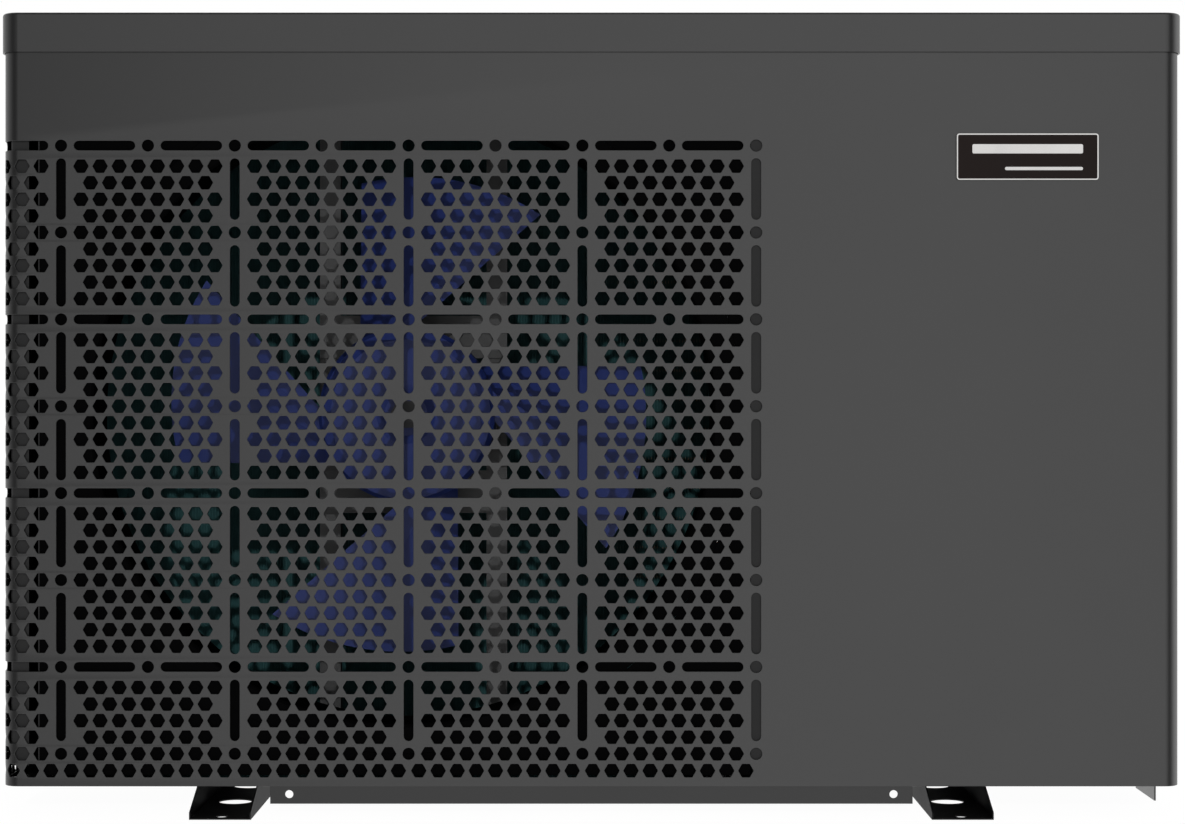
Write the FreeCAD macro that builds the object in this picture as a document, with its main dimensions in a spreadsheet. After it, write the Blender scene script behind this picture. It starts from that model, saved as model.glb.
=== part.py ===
import FreeCAD, Part
import Sketcher
import math
import os
import re

# Swimming-pool heat pump in a sheet-metal cabinet: +Z up, front towards -Y, origin on the ground
# at the centre between the two feet. All sizes are in millimetres.

V = FreeCAD.Vector
os.makedirs("parts", exist_ok=True)
doc = FreeCAD.newDocument("heat_pump_unit")
sheet = doc.addObject("Spreadsheet::Sheet", "Dims")
rows = []
kept = []


def size(name, number):
    """Adds one named size to the sheet."""
    rows.append(name)
    sheet.set("A%d" % len(rows), str(number))
    sheet.setAlias("A%d" % len(rows), name)


# Cabinet
size("body_width", 865.2)
size("body_depth", 319)
size("body_base", 22)
size("panel_top", 587.6)
size("corner_radius", 12)
size("panel_gauge", 1.2)
size("panel_gap", 0.4)
size("short_return", 12)
size("lid_width", 868.8)
size("lid_depth", 322.6)
size("lid_top", 590)
size("lid_skirt", 29)
size("lid_corner", 13.6)
size("lid_edge", 2)
# Base pan and feet
size("pan_rim", 6)
size("rail_half", 236)
size("rail_drop", 13)
size("rail_hole", 3)
size("rail_hole_x", 222)
size("foot_spacing", 540.8)
size("foot_width", 45)
size("foot_length", 349)
size("foot_plate", 1)
size("foot_tip_height", 5.3)
size("foot_rake", 45)
size("bolt_spacing", 329.4)
size("bolt_hole", 4.5)
size("drain_hole", 12.5)
size("drain_outer_y", 95.5)
size("drain_inner_y", 17.5)
# Perforation: a square grid of slot lines with a field of hexagons in each cell
size("grid_pitch", 127.55)
size("grid_first_x", -389.3)
size("grid_top_z", 492.4)
size("slot_length", 45)
size("slot_width", 7)
size("dot_radius", 4.4)
size("hex_flats", 9.8)
size("hex_pitch", 14.04)
size("hex_row", 12.16)
size("hex_row_margin", 15.1)
size("hex_column_margin", 14.63)
size("last_row_z", 33.6)
size("last_row_gap", 7.5)
size("tile_margin", 6.9)
size("last_tile_margin", 14.5)
size("last_tile_z", 39.8)
# Fan
size("fan_x", -138.5)
size("fan_z", 295)
size("fan_tip", 180)
size("fan_front", -130)
size("fan_back", -82)
size("hub_radius", 66)
size("blade_gauge", 3.2)
size("blade_edge", 37)
size("shaft_radius", 6)
size("shaft_play", 0.06)
size("ring_inner", 228)
size("ring_outer", 240)
size("ring_flange", 249)
size("ring_back", -97)
size("shroud_left", -405.8)
size("shroud_front", -157.4)
size("motor_radius", 42)
size("motor_front", -72)
size("motor_back", 12)
size("post_offset", 64.8)
size("post_width", 16)
size("bracket_y", -50)
size("cross_offset", 60.2)
size("cross_height", 33)
# Evaporator
size("coil_depth", 30)
size("coil_back", 148)
size("coil_left", -422)
size("coil_right", 108)
size("coil_front", -58)
size("coil_base", 27)
size("coil_top", 580)
# Partition and compressor side
size("partition_x", 119)
size("compressor_x", 196)
size("compressor_y", 58)
size("compressor_radius", 58)
size("compressor_base", 48)
size("compressor_height", 232)
size("accumulator_x", 196)
size("accumulator_y", -36)
size("accumulator_radius", 26)
size("exchanger_x", 338)
size("exchanger_y", 66)
size("exchanger_radius", 80)
size("exchanger_base", 26)
size("exchanger_top", 432)
size("box_left", 130)
size("box_right", 392)
size("box_front", -152)
size("box_back", -58)
size("box_base", 402)
size("box_top", 578)
# Water unions
size("union_y", 66)
size("inlet_z", 110)
size("outlet_z", 330)
size("pipe_radius", 25.15)
size("pipe_socket", 31)
size("union_reach", 474.5)
size("tail_radius", 31)
size("nut_radius", 41)
size("nut_front", 466)
size("nut_back", 436)
size("nut_ribs", 16)
size("union_hole", 36)
# Right-hand side fittings
size("control_y", -60)
size("control_z", 485)
size("control_width", 100)
size("control_height", 110)
size("control_reach", 5.2)
size("flap_gauge", 2.6)
size("key_radius", 4.5)
size("gauge_y", 66)
size("gauge_z", 490)
size("gauge_radius", 25)
size("wiring_y", -60)
size("wiring_z", 310)
size("wiring_width", 100)
size("wiring_height", 120)
size("gland_y", -60)
size("gland_cap", 9)
size("gland_z", 200)
size("gland_spacing", 40)
size("gland_bore", 6.5)
# Badge
size("badge_x", 319.9)
size("badge_z", 484)
size("badge_width", 104)
size("badge_height", 34)
size("badge_gauge", 1.6)
size("screw_head", 4.6)
size("screw_shank", 2.1)
doc.recompute()


def bound(text):
    """A formula in size names as an expression on the sheet."""
    return re.sub(r"[a-z]\w*", lambda word: "Dims." + word.group(0), text)


def number(text):
    """The value of a formula in size names."""
    return float(sheet.evalExpression(bound(text)))


def bind(item, properties, formulas):
    """Drives each property of an item from its formula."""
    for name, formula in zip(properties, formulas):
        item.setExpression(name, bound(formula))


BASE = ("Placement.Base.x", "Placement.Base.y", "Placement.Base.z")
TURN = {
    "x": FreeCAD.Rotation(V(0, 1, 0), 90),
    "y": FreeCAD.Rotation(V(1, 0, 0), -90),
    "z": FreeCAD.Rotation(),
}


def box(name, lengths, corner):
    """A block from its low corner."""
    item = doc.addObject("Part::Box", name)
    bind(item, ("Length", "Width", "Height"), lengths)
    bind(item, BASE, corner)
    return item


def rod(name, axis, radius, length, start):
    """A cylinder along +X, +Y or +Z from its start point."""
    item = doc.addObject("Part::Cylinder", name)
    item.Placement = FreeCAD.Placement(V(), TURN[axis])
    bind(item, ("Radius", "Height"), (radius, length))
    bind(item, BASE, start)
    return item


def cone(name, axis, radii, length, start):
    """A truncated cone along +X, +Y or +Z from its start point."""
    item = doc.addObject("Part::Cone", name)
    item.Placement = FreeCAD.Placement(V(), TURN[axis])
    bind(item, ("Radius1", "Radius2", "Height"), radii + (length,))
    bind(item, BASE, start)
    return item


def fuse(name, items):
    """One solid from several that touch."""
    item = doc.addObject("Part::MultiFuse", name)
    item.Shapes = items
    item.Refine = True
    return item


def cut(name, base, tools):
    """A solid with others taken away."""
    item = doc.addObject("Part::Cut", name)
    item.Base = base
    item.Tool = tools[0] if len(tools) == 1 else group(name + "_tools", tools)
    return item


def group(name, items):
    """Separate solids of one kind as one node."""
    item = doc.addObject("Part::Compound", name)
    item.Links = items
    return item


def keep(item, label):
    """Marks a document object as a finished sub-part."""
    item.Label = label
    kept.append(item)
    return item


def body(name):
    """An empty PartDesign body."""
    return doc.addObject("PartDesign::Body", name)


def sketch(owner, name, role, height="0"):
    """A sketch on one of the body's own origin planes, raised by height."""
    item = owner.newObject("Sketcher::SketchObject", name)
    plane = [feature for feature in owner.Origin.OriginFeatures if feature.Role == role]
    item.AttachmentSupport = [(plane[0], "")]
    item.MapMode = "FlatFace"
    item.setExpression("AttachmentOffset.Base.z", bound(height))
    return item


def hold_point(item, geometry, position, formulas):
    """Ties one sketch point to the sketch origin by two driven distances."""
    for kind, formula in zip(("DistanceX", "DistanceY"), formulas):
        rule = Sketcher.Constraint(kind, -1, 1, geometry, position, number(formula))
        index = item.addConstraint(rule)
        item.setExpression("Constraints[%d]" % index, bound(formula))


def outline(item, points):
    """A closed polygon whose corners are driven by formulas."""
    places = [V(number(x), number(y), 0) for x, y in points]
    first = item.GeometryCount
    count = len(points)
    for k in range(count):
        item.addGeometry(Part.LineSegment(places[k], places[(k + 1) % count]), False)
    for k in range(count):
        item.addConstraint(Sketcher.Constraint("Coincident", first + k, 2, first + (k + 1) % count, 1))
        hold_point(item, first + k, 1, points[k])


def ring(item, centre, radius):
    """A circle whose centre and radius are driven by formulas."""
    place = V(number(centre[0]), number(centre[1]), 0)
    index = item.addGeometry(Part.Circle(place, V(0, 0, 1), number(radius)), False)
    hold_point(item, index, 3, centre)
    rule = item.addConstraint(Sketcher.Constraint("Radius", index, number(radius)))
    item.setExpression("Constraints[%d]" % rule, bound(radius))


def rectangle(item, centre, lengths):
    """A closed rectangle about a centre."""
    x, y = centre
    half = ["(%s) / 2" % text for text in lengths]
    corners = [("-", "-"), ("+", "-"), ("+", "+"), ("-", "+")]
    outline(item, [("%s %s %s" % (x, a, half[0]), "%s %s %s" % (y, b, half[1])) for a, b in corners])


def pad(owner, name, profile, length, both=False, reverse=False):
    """Raises a sketch into material."""
    item = owner.newObject("PartDesign::Pad", name)
    item.Profile = profile
    item.setExpression("Length", bound(length))
    if both:
        item.SideType = "Symmetric"
    item.Reversed = reverse
    return item


def pocket(owner, name, profile, length, reverse=False):
    """Takes a sketch out of the material, downwards unless reversed."""
    item = owner.newObject("PartDesign::Pocket", name)
    item.Profile = profile
    item.setExpression("Length", bound(length))
    item.Reversed = reverse
    return item


def revolve(owner, name, profile):
    """Turns a sketch about the vertical axis of its plane."""
    item = owner.newObject("PartDesign::Revolution", name)
    item.Profile = profile
    item.ReferenceAxis = (profile, ["V_Axis"])
    item.Angle = 360
    return item


def upright_edges(shape, length):
    """Names of the straight vertical edges of one length."""
    found = []
    for index, edge in enumerate(shape.Edges):
        box_of = edge.BoundBox
        if abs(box_of.ZLength - length) < 0.01 and box_of.XLength + box_of.YLength < 0.01:
            found.append("Edge%d" % (index + 1))
    return found


def fillet(owner, name, feature, edges, radius):
    """Rounds named edges of a feature."""
    item = owner.newObject("PartDesign::Fillet", name)
    item.Base = (feature, edges)
    item.setExpression("Radius", bound(radius))
    return item


def feature(name, shape, place=None):
    """A sub-part whose shape is computed from the sheet."""
    item = doc.addObject("Part::Feature", name)
    item.Shape = shape
    item.Placement = place if place else FreeCAD.Placement()
    return item


# ---------------------------------------------------------------------------------------------
# Base pan: a shallow tray with a drop rail at the front and a short lip on the right
pan = body("pan_body")
floor = sketch(pan, "pan_floor", "XY_Plane", "body_base")
rectangle(floor, ("0", "0"), ("body_width - 3", "body_depth - 3"))
tray = pad(pan, "pan_tray", floor, "pan_rim")
doc.recompute()
tray_corners = upright_edges(tray.Shape, number("pan_rim"))
fillet(pan, "pan_round", tray, tray_corners, "corner_radius - 1.6")
hollow = sketch(pan, "pan_hollow", "XY_Plane", "body_base + panel_gauge")
rectangle(hollow, ("0", "0"), ("body_width - 3 - 2 * panel_gauge", "body_depth - 3 - 16"))
pocket(pan, "pan_hollow_cut", hollow, "pan_rim", True)
rail = sketch(pan, "pan_rail", "XZ_Plane", "body_depth / 2 - 3")
rectangle(rail, ("0", "body_base - rail_drop / 2 + 0.3"), ("2 * rail_half", "rail_drop + 0.6"))
pad(pan, "pan_rail_plate", rail, "panel_gauge")
lip = sketch(pan, "pan_lip", "YZ_Plane", "body_width / 2 - 15.8")
rectangle(lip, ("-112", "body_base - rail_drop / 2 + 0.3"), ("62", "rail_drop + 0.6"))
pad(pan, "pan_lip_plate", lip, "panel_gauge")
rail_holes = sketch(pan, "pan_rail_holes", "XZ_Plane", "body_depth / 2 + 5")
for side in ("-", ""):
    ring(rail_holes, (side + "rail_hole_x", "body_base - 6"), "rail_hole")
pocket(pan, "pan_rail_hole_cut", rail_holes, "12")
drain = sketch(pan, "pan_drain", "XY_Plane", "body_base + 5")
ring(drain, ("-20", "60"), "7.2")
pocket(pan, "pan_drain_cut", drain, "8")
keep(pan, "base_pan")

# Feet: two channels front to back with raked ends and a row of holes in the plate
for side, sign in (("left", "-"), ("right", "")):
    foot = body("foot_%s_body" % side)
    web = sketch(foot, "foot_%s_web" % side, "YZ_Plane")
    outline(web, [
        ("-foot_length / 2", "0"),
        ("foot_length / 2", "0"),
        ("foot_length / 2", "foot_tip_height"),
        ("foot_length / 2 - foot_rake", "body_base - 0.1"),
        ("foot_rake - foot_length / 2", "body_base - 0.1"),
        ("-foot_length / 2", "foot_tip_height"),
    ])
    pad(foot, "foot_%s_bar" % side, web, "foot_width", True)
    channel = sketch(foot, "foot_%s_channel" % side, "XY_Plane", "foot_plate")
    rectangle(channel, ("0", "0"), ("foot_width - 2 * foot_plate", "foot_length + 2"))
    pocket(foot, "foot_%s_channel_cut" % side, channel, "body_base", True)
    holes = sketch(foot, "foot_%s_holes" % side, "XY_Plane", "foot_plate + 1")
    for end in ("-", ""):
        ring(holes, ("0", end + "bolt_spacing / 2"), "bolt_hole")
        ring(holes, ("0", end + "drain_outer_y"), "drain_hole")
        ring(holes, ("0", end + "drain_inner_y"), "drain_hole")
    pocket(foot, "foot_%s_hole_cut" % side, holes, "foot_plate + 2")
    foot.setExpression("Placement.Base.x", bound(sign + "foot_spacing / 2"))
    keep(foot, "foot_" + side)

# ---------------------------------------------------------------------------------------------
# Perforated sheet panels. Along the sheet, u is the distance measured round the bends.
gauge = number("panel_gauge")
bend = number("corner_radius")
half_width = number("body_width / 2")
half_depth = number("body_depth / 2")
bend_start = bend - half_width
bend_end = bend_start - bend * math.pi / 2
side_shift = -bend_end + half_depth - bend
pitch = number("grid_pitch")
first_line = number("grid_first_x")
top_line = number("grid_top_z")
last_z = number("last_tile_z")
step_u = number("tile_margin")
step_last = number("last_tile_margin")
sheet_levels = [number("body_base")]
sheet_levels += [top_line + step_u - pitch * k for k in (3, 2, 1, 0)]
sheet_levels.append(number("panel_top"))


def hexagon(u, z):
    """A hexagonal hole with level flats."""
    reach = number("hex_flats") / math.sqrt(3)
    turns = [math.radians(60 * k) for k in range(7)]
    return Part.makePolygon([V(u + reach * math.cos(t), 0, z + reach * math.sin(t)) for t in turns])


def stadium(u, z, upright):
    """A slot with round ends."""
    r = number("slot_width") / 2
    run = number("slot_length") / 2 - r
    points = [(-run, r), (run, r), (run + r, 0), (run, -r), (-run, -r), (-run - r, 0)]
    p = [V(u + b, 0, z + a) if upright else V(u + a, 0, z + b) for a, b in points]
    return Part.Wire([
        Part.LineSegment(p[0], p[1]).toShape(),
        Part.Arc(p[1], p[2], p[3]).toShape(),
        Part.LineSegment(p[3], p[4]).toShape(),
        Part.Arc(p[4], p[5], p[0]).toShape(),
    ])


def dot(u, z):
    """A round hole where slot lines meet and midway between."""
    return Part.Wire([Part.Circle(V(u, 0, z), V(0, 1, 0), number("dot_radius")).toShape()])


def cell_holes(line_u, line_z, low_u, high_u):
    """Holes of the cell left of and below one crossing of slot lines."""
    found = [(dot, line_u, line_z), (dot, line_u, line_z - pitch / 2), (dot, line_u - pitch / 2, line_z)]
    for k in (1, 3):
        found.append((lambda u, z: stadium(u, z, True), line_u, line_z - pitch * k / 4))
        found.append((lambda u, z: stadium(u, z, False), line_u - pitch * k / 4, line_z))
    lowest = line_z - pitch < 0
    column = number("hex_pitch")
    for level in range(5 if lowest else 9):
        count = 7 if level % 2 else 8
        start = number("hex_column_margin") + (column / 2 if level % 2 else 0)
        z = line_z - number("hex_row_margin") - level * number("hex_row")
        found += [(hexagon, line_u - start - k * column, z) for k in range(count)]
    if lowest:
        z = number("last_row_z")
        gap = number("last_row_gap")
        found += [(hexagon, line_u - gap, z), (hexagon, line_u - pitch + gap, z)]
        start = number("hex_column_margin") + column / 2
        found += [(hexagon, line_u - start - k * column, z) for k in range(7)]
    inside = []
    for make, u, z in found:
        reach_z = number("slot_length") / 2 if make is not dot and make is not hexagon else 5
        if z - reach_z > number("body_base") + 4 and low_u + 5 < u < high_u - 5:
            inside.append((make, u, z))
    return inside


def stepped(low_u, high_u, low_z, high_z, low_steps, high_steps):
    """Corners of one tile; its sides step aside below the last row of holes."""
    points = [(low_u, high_z), (high_u, high_z)]
    shift = step_last - step_u
    lowest = low_z < last_z
    if lowest and high_steps:
        points += [(high_u, last_z), (high_u + shift, last_z), (high_u + shift, low_z)]
    else:
        points.append((high_u, low_z))
    if lowest and low_steps:
        points += [(low_u + shift, low_z), (low_u + shift, last_z), (low_u, last_z)]
    else:
        points.append((low_u, low_z))
    return [V(u, 0, z) for u, z in points]


def flat_tile(corners, holes):
    """A flat tile of the sheet with its holes."""
    wires = [Part.makePolygon(corners + corners[:1])] + [make(u, z) for make, u, z in holes]
    return Part.makeFace(wires, "Part::FaceMakerBullseye").extrude(V(0, gauge, 0))


def bent_profile(start, turn, length, sign):
    """Section of a sheet that runs flat, turns a corner and returns."""
    mid = math.sqrt(0.5)
    inner = bend - gauge
    p = [
        V(start, 0, 0),
        V(turn, 0, 0),
        V(turn + sign * bend * mid, bend - bend * mid, 0),
        V(turn + sign * bend, bend, 0),
        V(turn + sign * bend, bend + length, 0),
        V(turn + sign * inner, bend + length, 0),
        V(turn + sign * inner, bend, 0),
        V(turn + sign * inner * mid, bend - inner * mid, 0),
        V(turn, gauge, 0),
        V(start, gauge, 0),
    ]
    return Part.Wire([
        Part.LineSegment(p[0], p[1]).toShape(),
        Part.Arc(p[1], p[2], p[3]).toShape(),
        Part.LineSegment(p[3], p[4]).toShape(),
        Part.LineSegment(p[4], p[5]).toShape(),
        Part.LineSegment(p[5], p[6]).toShape(),
        Part.Arc(p[6], p[7], p[8]).toShape(),
        Part.LineSegment(p[8], p[9]).toShape(),
        Part.LineSegment(p[9], p[0]).toShape(),
    ])


def bent_tile(start, turn, length, sign, low_z, high_z):
    """A plain tile that turns a corner."""
    return Part.Face(bent_profile(start, turn, length, sign)).extrude(V(0, 0, high_z - low_z))


def wrapped_cutter(make, u, z):
    """A hole of the pattern as a solid standing square to the sheet at u on the left corner."""
    flat = Part.Face(make(0, 0)).extrude(V(0, gauge + 3, 0))
    flat.translate(V(0, -1.5, 0))
    arc = min(max((bend_start - u) / bend, 0), math.pi / 2)
    flat.rotate(V(), V(0, 0, 1), -math.degrees(arc))
    before = max(u - bend_start, 0)
    after = max(bend_end - u, 0)
    x = bend_start - bend * math.sin(arc) + before
    y = bend - bend * math.cos(arc) + after
    flat.translate(V(x, y, z))
    return flat


def joined(tiles, seams_u, seams_z):
    """One sheet from tiles that share edges: faces on the shared edges are left out."""
    faces = []
    for tile in tiles:
        for face in tile.Faces:
            extent = face.BoundBox
            on_u = extent.XLength < 1e-4 and any(abs(extent.XMin - u) < 1e-3 for u in seams_u)
            on_z = extent.ZLength < 1e-4 and any(abs(extent.ZMin - z) < 1e-3 for z in seams_z)
            if not (on_u or on_z):
                faces.append(face)
    skin = Part.makeCompound(faces)
    skin.sewShape()
    return Part.makeSolid(skin.Shells[0])


lines = [first_line + pitch * k for k in range(5)]
edges_u = [line + step_u for line in lines]
seam_u = first_line - pitch + step_u
tiles = []
for low_z, high_z in zip(sheet_levels, sheet_levels[1:]):
    line_z = high_z - step_u
    pierced = high_z < number("panel_top")
    for k in range(4):
        last = k == 3
        corners = stepped(edges_u[k], edges_u[k + 1], low_z, high_z, True, not last)
        holes = cell_holes(lines[k + 1], line_z, edges_u[k], edges_u[k + 1] + 8) if pierced else []
        tiles.append(flat_tile(corners, holes))
    plain = bent_tile(edges_u[4], half_width - bend, number("short_return"), 1, low_z, high_z)
    plain.translate(V(0, 0, low_z))
    tiles.append(plain)
    return_length = bend_end - seam_u - number("panel_gap") / 2
    if low_z < last_z:
        corner = bent_tile(edges_u[0], bend_start, return_length, -1, last_z, high_z)
        corner.translate(V(0, 0, last_z))
        skirt = bent_tile(edges_u[0] + step_last - step_u, bend_start, return_length, -1, low_z, last_z)
        skirt.translate(V(0, 0, low_z))
        corner = corner.fuse(skirt)
    else:
        corner = bent_tile(edges_u[0], bend_start, return_length, -1, low_z, high_z)
        corner.translate(V(0, 0, low_z))
    if pierced:
        holes = cell_holes(lines[0], line_z, seam_u + 2, edges_u[0] + 8)
        corner = corner.cut([wrapped_cutter(*hole) for hole in holes])
    tiles.append(corner)
seams_u = edges_u + [u + step_last - step_u for u in edges_u]
seams_z = sheet_levels[1:-1] + [last_z]
front_shape = joined(tiles, seams_u, seams_z)
front = feature("front_sheet", front_shape, FreeCAD.Placement(V(0, -half_depth, 0), FreeCAD.Rotation()))
keep(front, "front_panel")

# Left side panel: the same pattern carried on, then a short return at the rear
side_lines = [first_line - pitch, first_line - 2 * pitch]
side_start = seam_u - number("panel_gap") / 2
side_turn = bend - half_depth - side_shift
side_last = side_lines[1] - pitch * 0.62
side_edges = [side_last, side_lines[1] + step_u, side_start]
tiles = []
for low_z, high_z in zip(sheet_levels, sheet_levels[1:]):
    line_z = high_z - step_u
    pierced = high_z < number("panel_top")
    for k in range(2):
        low_u, high_u = side_edges[k], side_edges[k + 1]
        corners = stepped(low_u, high_u, low_z, high_z, k == 1, k == 0)
        holes = cell_holes(side_lines[1 - k], line_z, low_u, high_u + (8 if k == 0 else 0)) if pierced else []
        tiles.append(flat_tile(corners, holes))
    plain = bent_tile(side_last, side_turn, number("short_return"), -1, low_z, high_z)
    plain.translate(V(0, 0, low_z))
    tiles.append(plain)
seams_u = side_edges[:2] + [side_edges[1] + step_last - step_u]
left_shape = joined(tiles, seams_u, seams_z)
left_place = FreeCAD.Placement(V(-half_width, -side_shift, 0), FreeCAD.Rotation(V(0, 0, 1), -90))
keep(feature("left_sheet", left_shape, left_place), "left_side_panel")

# ---------------------------------------------------------------------------------------------
# Plain panels
side = body("right_body")
side_plan = sketch(side, "right_plan", "XY_Plane", "body_base")
outline(side_plan, [
    ("body_width / 2", "corner_radius + short_return + panel_gap - body_depth / 2"),
    ("body_width / 2", "body_depth / 2"),
    ("body_width / 2 - corner_radius - short_return", "body_depth / 2"),
    ("body_width / 2 - corner_radius - short_return", "body_depth / 2 - panel_gauge"),
    ("body_width / 2 - panel_gauge", "body_depth / 2 - panel_gauge"),
    ("body_width / 2 - panel_gauge", "corner_radius + short_return + panel_gap - body_depth / 2"),
])
side_pad = pad(side, "right_sheet", side_plan, "panel_top - body_base")
doc.recompute()
tall = number("panel_top - body_base")
rear_edges = []
for name in upright_edges(side_pad.Shape, tall):
    middle = side_pad.Shape.getElement(name).CenterOfMass
    if middle.y > half_depth - 2 and middle.x > half_width - 2:
        rear_edges.append((middle.x, name))
rear_edges.sort()
outer_bend = fillet(side, "right_outer", side_pad, [rear_edges[-1][1]], "corner_radius")
doc.recompute()
inner_names = []
for name in upright_edges(outer_bend.Shape, tall):
    middle = outer_bend.Shape.getElement(name).CenterOfMass
    if abs(middle.x - half_width + gauge) < 0.01 and abs(middle.y - half_depth + gauge) < 0.01:
        inner_names.append(name)
fillet(side, "right_inner", outer_bend, inner_names, "corner_radius - panel_gauge")
wall_start = "body_width / 2 - 10"
tools = [
    rod("hole_inlet", "x", "union_hole", "20", (wall_start, "union_y", "inlet_z")),
    rod("hole_outlet", "x", "union_hole", "20", (wall_start, "union_y", "outlet_z")),
]
screw_spots = [("-body_depth / 2 + 40", "50"), ("-body_depth / 2 + 40", "400"), ("140", "60"), ("140", "520")]
for k, (y, z) in enumerate(screw_spots):
    tools.append(rod("hole_side_%d" % k, "x", "screw_shank", "20", (wall_start, y, z)))
for k, offset in enumerate(("-", "+")):
    spot = (wall_start, "gland_y %s gland_spacing / 2" % offset, "gland_z")
    tools.append(rod("hole_gland_%d" % k, "x", "gland_bore + 1.6", "20", spot))
keep(cut("right_sheet_cut", side, tools), "right_side_panel")

# Rear: service panel on the compressor side, open guard over the coil
rear_plate = box("rear_plate", ("287", "panel_gauge", "panel_top - body_base"),
                 ("partition_x + 1", "body_depth / 2 - panel_gauge", "body_base"))
tools = []
for k in range(9):
    lengths = ("90", "6", "5")
    corner = ("partition_x + 100", "body_depth / 2 - 3", "body_base + 60 + %d * 14" % k)
    tools.append(box("louvre_%d" % k, lengths, corner))
rear_spots = [("partition_x + 14", "60"), ("partition_x + 14", "540"), ("390", "60"), ("390", "540")]
for k, (x, z) in enumerate(rear_spots):
    tools.append(rod("hole_rear_%d" % k, "y", "screw_shank", "6", (x, "body_depth / 2 - 3", z)))
keep(cut("rear_plate_cut", rear_plate, tools), "rear_panel")

guard_left = -half_width + bend + number("short_return") + 0.4
guard_right = number("partition_x") + 0.6
guard_low = number("body_base + pan_rim") + 0.4
guard_high = number("panel_top") - 1
wires = [Part.makePolygon([V(x, 0, z) for x, z in (
    (guard_left, guard_low), (guard_right, guard_low), (guard_right, guard_high),
    (guard_left, guard_high), (guard_left, guard_low))])]
columns, levels, bar = 11, 22, 3.0
step_x = (guard_right - guard_left - bar) / columns
step_z = (guard_high - guard_low - bar) / levels
for i in range(columns):
    for j in range(levels):
        x0, z0 = guard_left + bar + i * step_x, guard_low + bar + j * step_z
        x1, z1 = x0 + step_x - bar, z0 + step_z - bar
        wires.append(Part.makePolygon([V(x, 0, z) for x, z in (
            (x0, z0), (x1, z0), (x1, z1), (x0, z1), (x0, z0))]))
guard = Part.makeFace(wires, "Part::FaceMakerBullseye").extrude(V(0, bar, 0))
guard_place = FreeCAD.Placement(V(0, half_depth - bar, 0), FreeCAD.Rotation())
keep(feature("guard_lattice", guard, guard_place), "rear_guard")

# Lid: a pressed cap with rounded corners and a skirt all round
lid = body("lid_body")
lid_plan = sketch(lid, "lid_plan", "XY_Plane", "lid_top - lid_skirt")
rectangle(lid_plan, ("0", "0"), ("lid_width", "lid_depth"))
lid_block = pad(lid, "lid_block", lid_plan, "lid_skirt")
doc.recompute()
lid_corners = upright_edges(lid_block.Shape, number("lid_skirt"))
lid_round = fillet(lid, "lid_round", lid_block, lid_corners, "lid_corner")
doc.recompute()
top_edges = []
for index, edge in enumerate(lid_round.Shape.Edges):
    if edge.BoundBox.ZMin > number("lid_top") - 0.01:
        top_edges.append("Edge%d" % (index + 1))
lid_soft = fillet(lid, "lid_soft", lid_round, top_edges, "lid_edge")
doc.recompute()
under = []
for index, face in enumerate(lid_soft.Shape.Faces):
    if face.BoundBox.ZMax < number("lid_top - lid_skirt") + 0.01:
        under.append("Face%d" % (index + 1))
shell = lid.newObject("PartDesign::Thickness", "lid_shell")
shell.Base = (lid_soft, under)
shell.Value = 1.2
shell.Reversed = True
lid_spots = []
for sign in ("-", ""):
    for y in ("-105", "105"):
        lid_spots.append((sign, "x", y))
for x in ("-300", "0", "300"):
    lid_spots.append(("", "y", x))
tools = []
screw_level = "lid_top - lid_skirt + 12"
for k, (sign, axis, across) in enumerate(lid_spots):
    if axis == "x":
        spot = ("%slid_width / 2 - 3" % sign, across, screw_level)
    else:
        spot = (across, "lid_depth / 2 - 3", screw_level)
    tools.append(rod("hole_lid_%d" % k, axis, "screw_shank", "6", spot))
keep(cut("lid_cut", lid, tools), "top_lid")

# Inner frame
post = body("post_body")
plan = sketch(post, "post_plan", "XY_Plane", "body_base + 15")
front_y = "2.6 - body_depth / 2"
outline(plan, [
    ("corner_radius - body_width / 2 + 7.2", front_y),
    ("corner_radius - body_width / 2 - 4.5", front_y),
    ("corner_radius - body_width / 2 - 6", front_y + " + 1.5"),
    ("1.3 - body_width / 2", "28 - body_depth / 2"),
    ("1.3 - body_width / 2", "coil_front - 16"),
    ("2.5 - body_width / 2", "coil_front - 16"),
    ("2.5 - body_width / 2", "28.4 - body_depth / 2"),
    ("corner_radius - body_width / 2 - 4.6", front_y + " + 2.6"),
    ("corner_radius - body_width / 2 - 3.9", front_y + " + 1.2"),
    ("corner_radius - body_width / 2 + 7.2", front_y + " + 1.2"),
])
pad(post, "post_rise", plan, "panel_top - body_base - 16")
keep(post, "front_left_post")
keep(fuse("partition", [
    box("partition_wall", ("1.2", "body_depth - 20", "panel_top - body_base - 3"),
        ("partition_x", "10 - body_depth / 2", "body_base + 1.3")),
    box("partition_flange", ("20", "1.2", "panel_top - body_base - 16"),
        ("partition_x - 2", "-158.2", "body_base + 15")),
    box("partition_bridge", ("1.2", "9", "panel_top - body_base - 16"),
        ("partition_x", "-158.2", "body_base + 15")),
]), "partition_panel")

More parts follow.
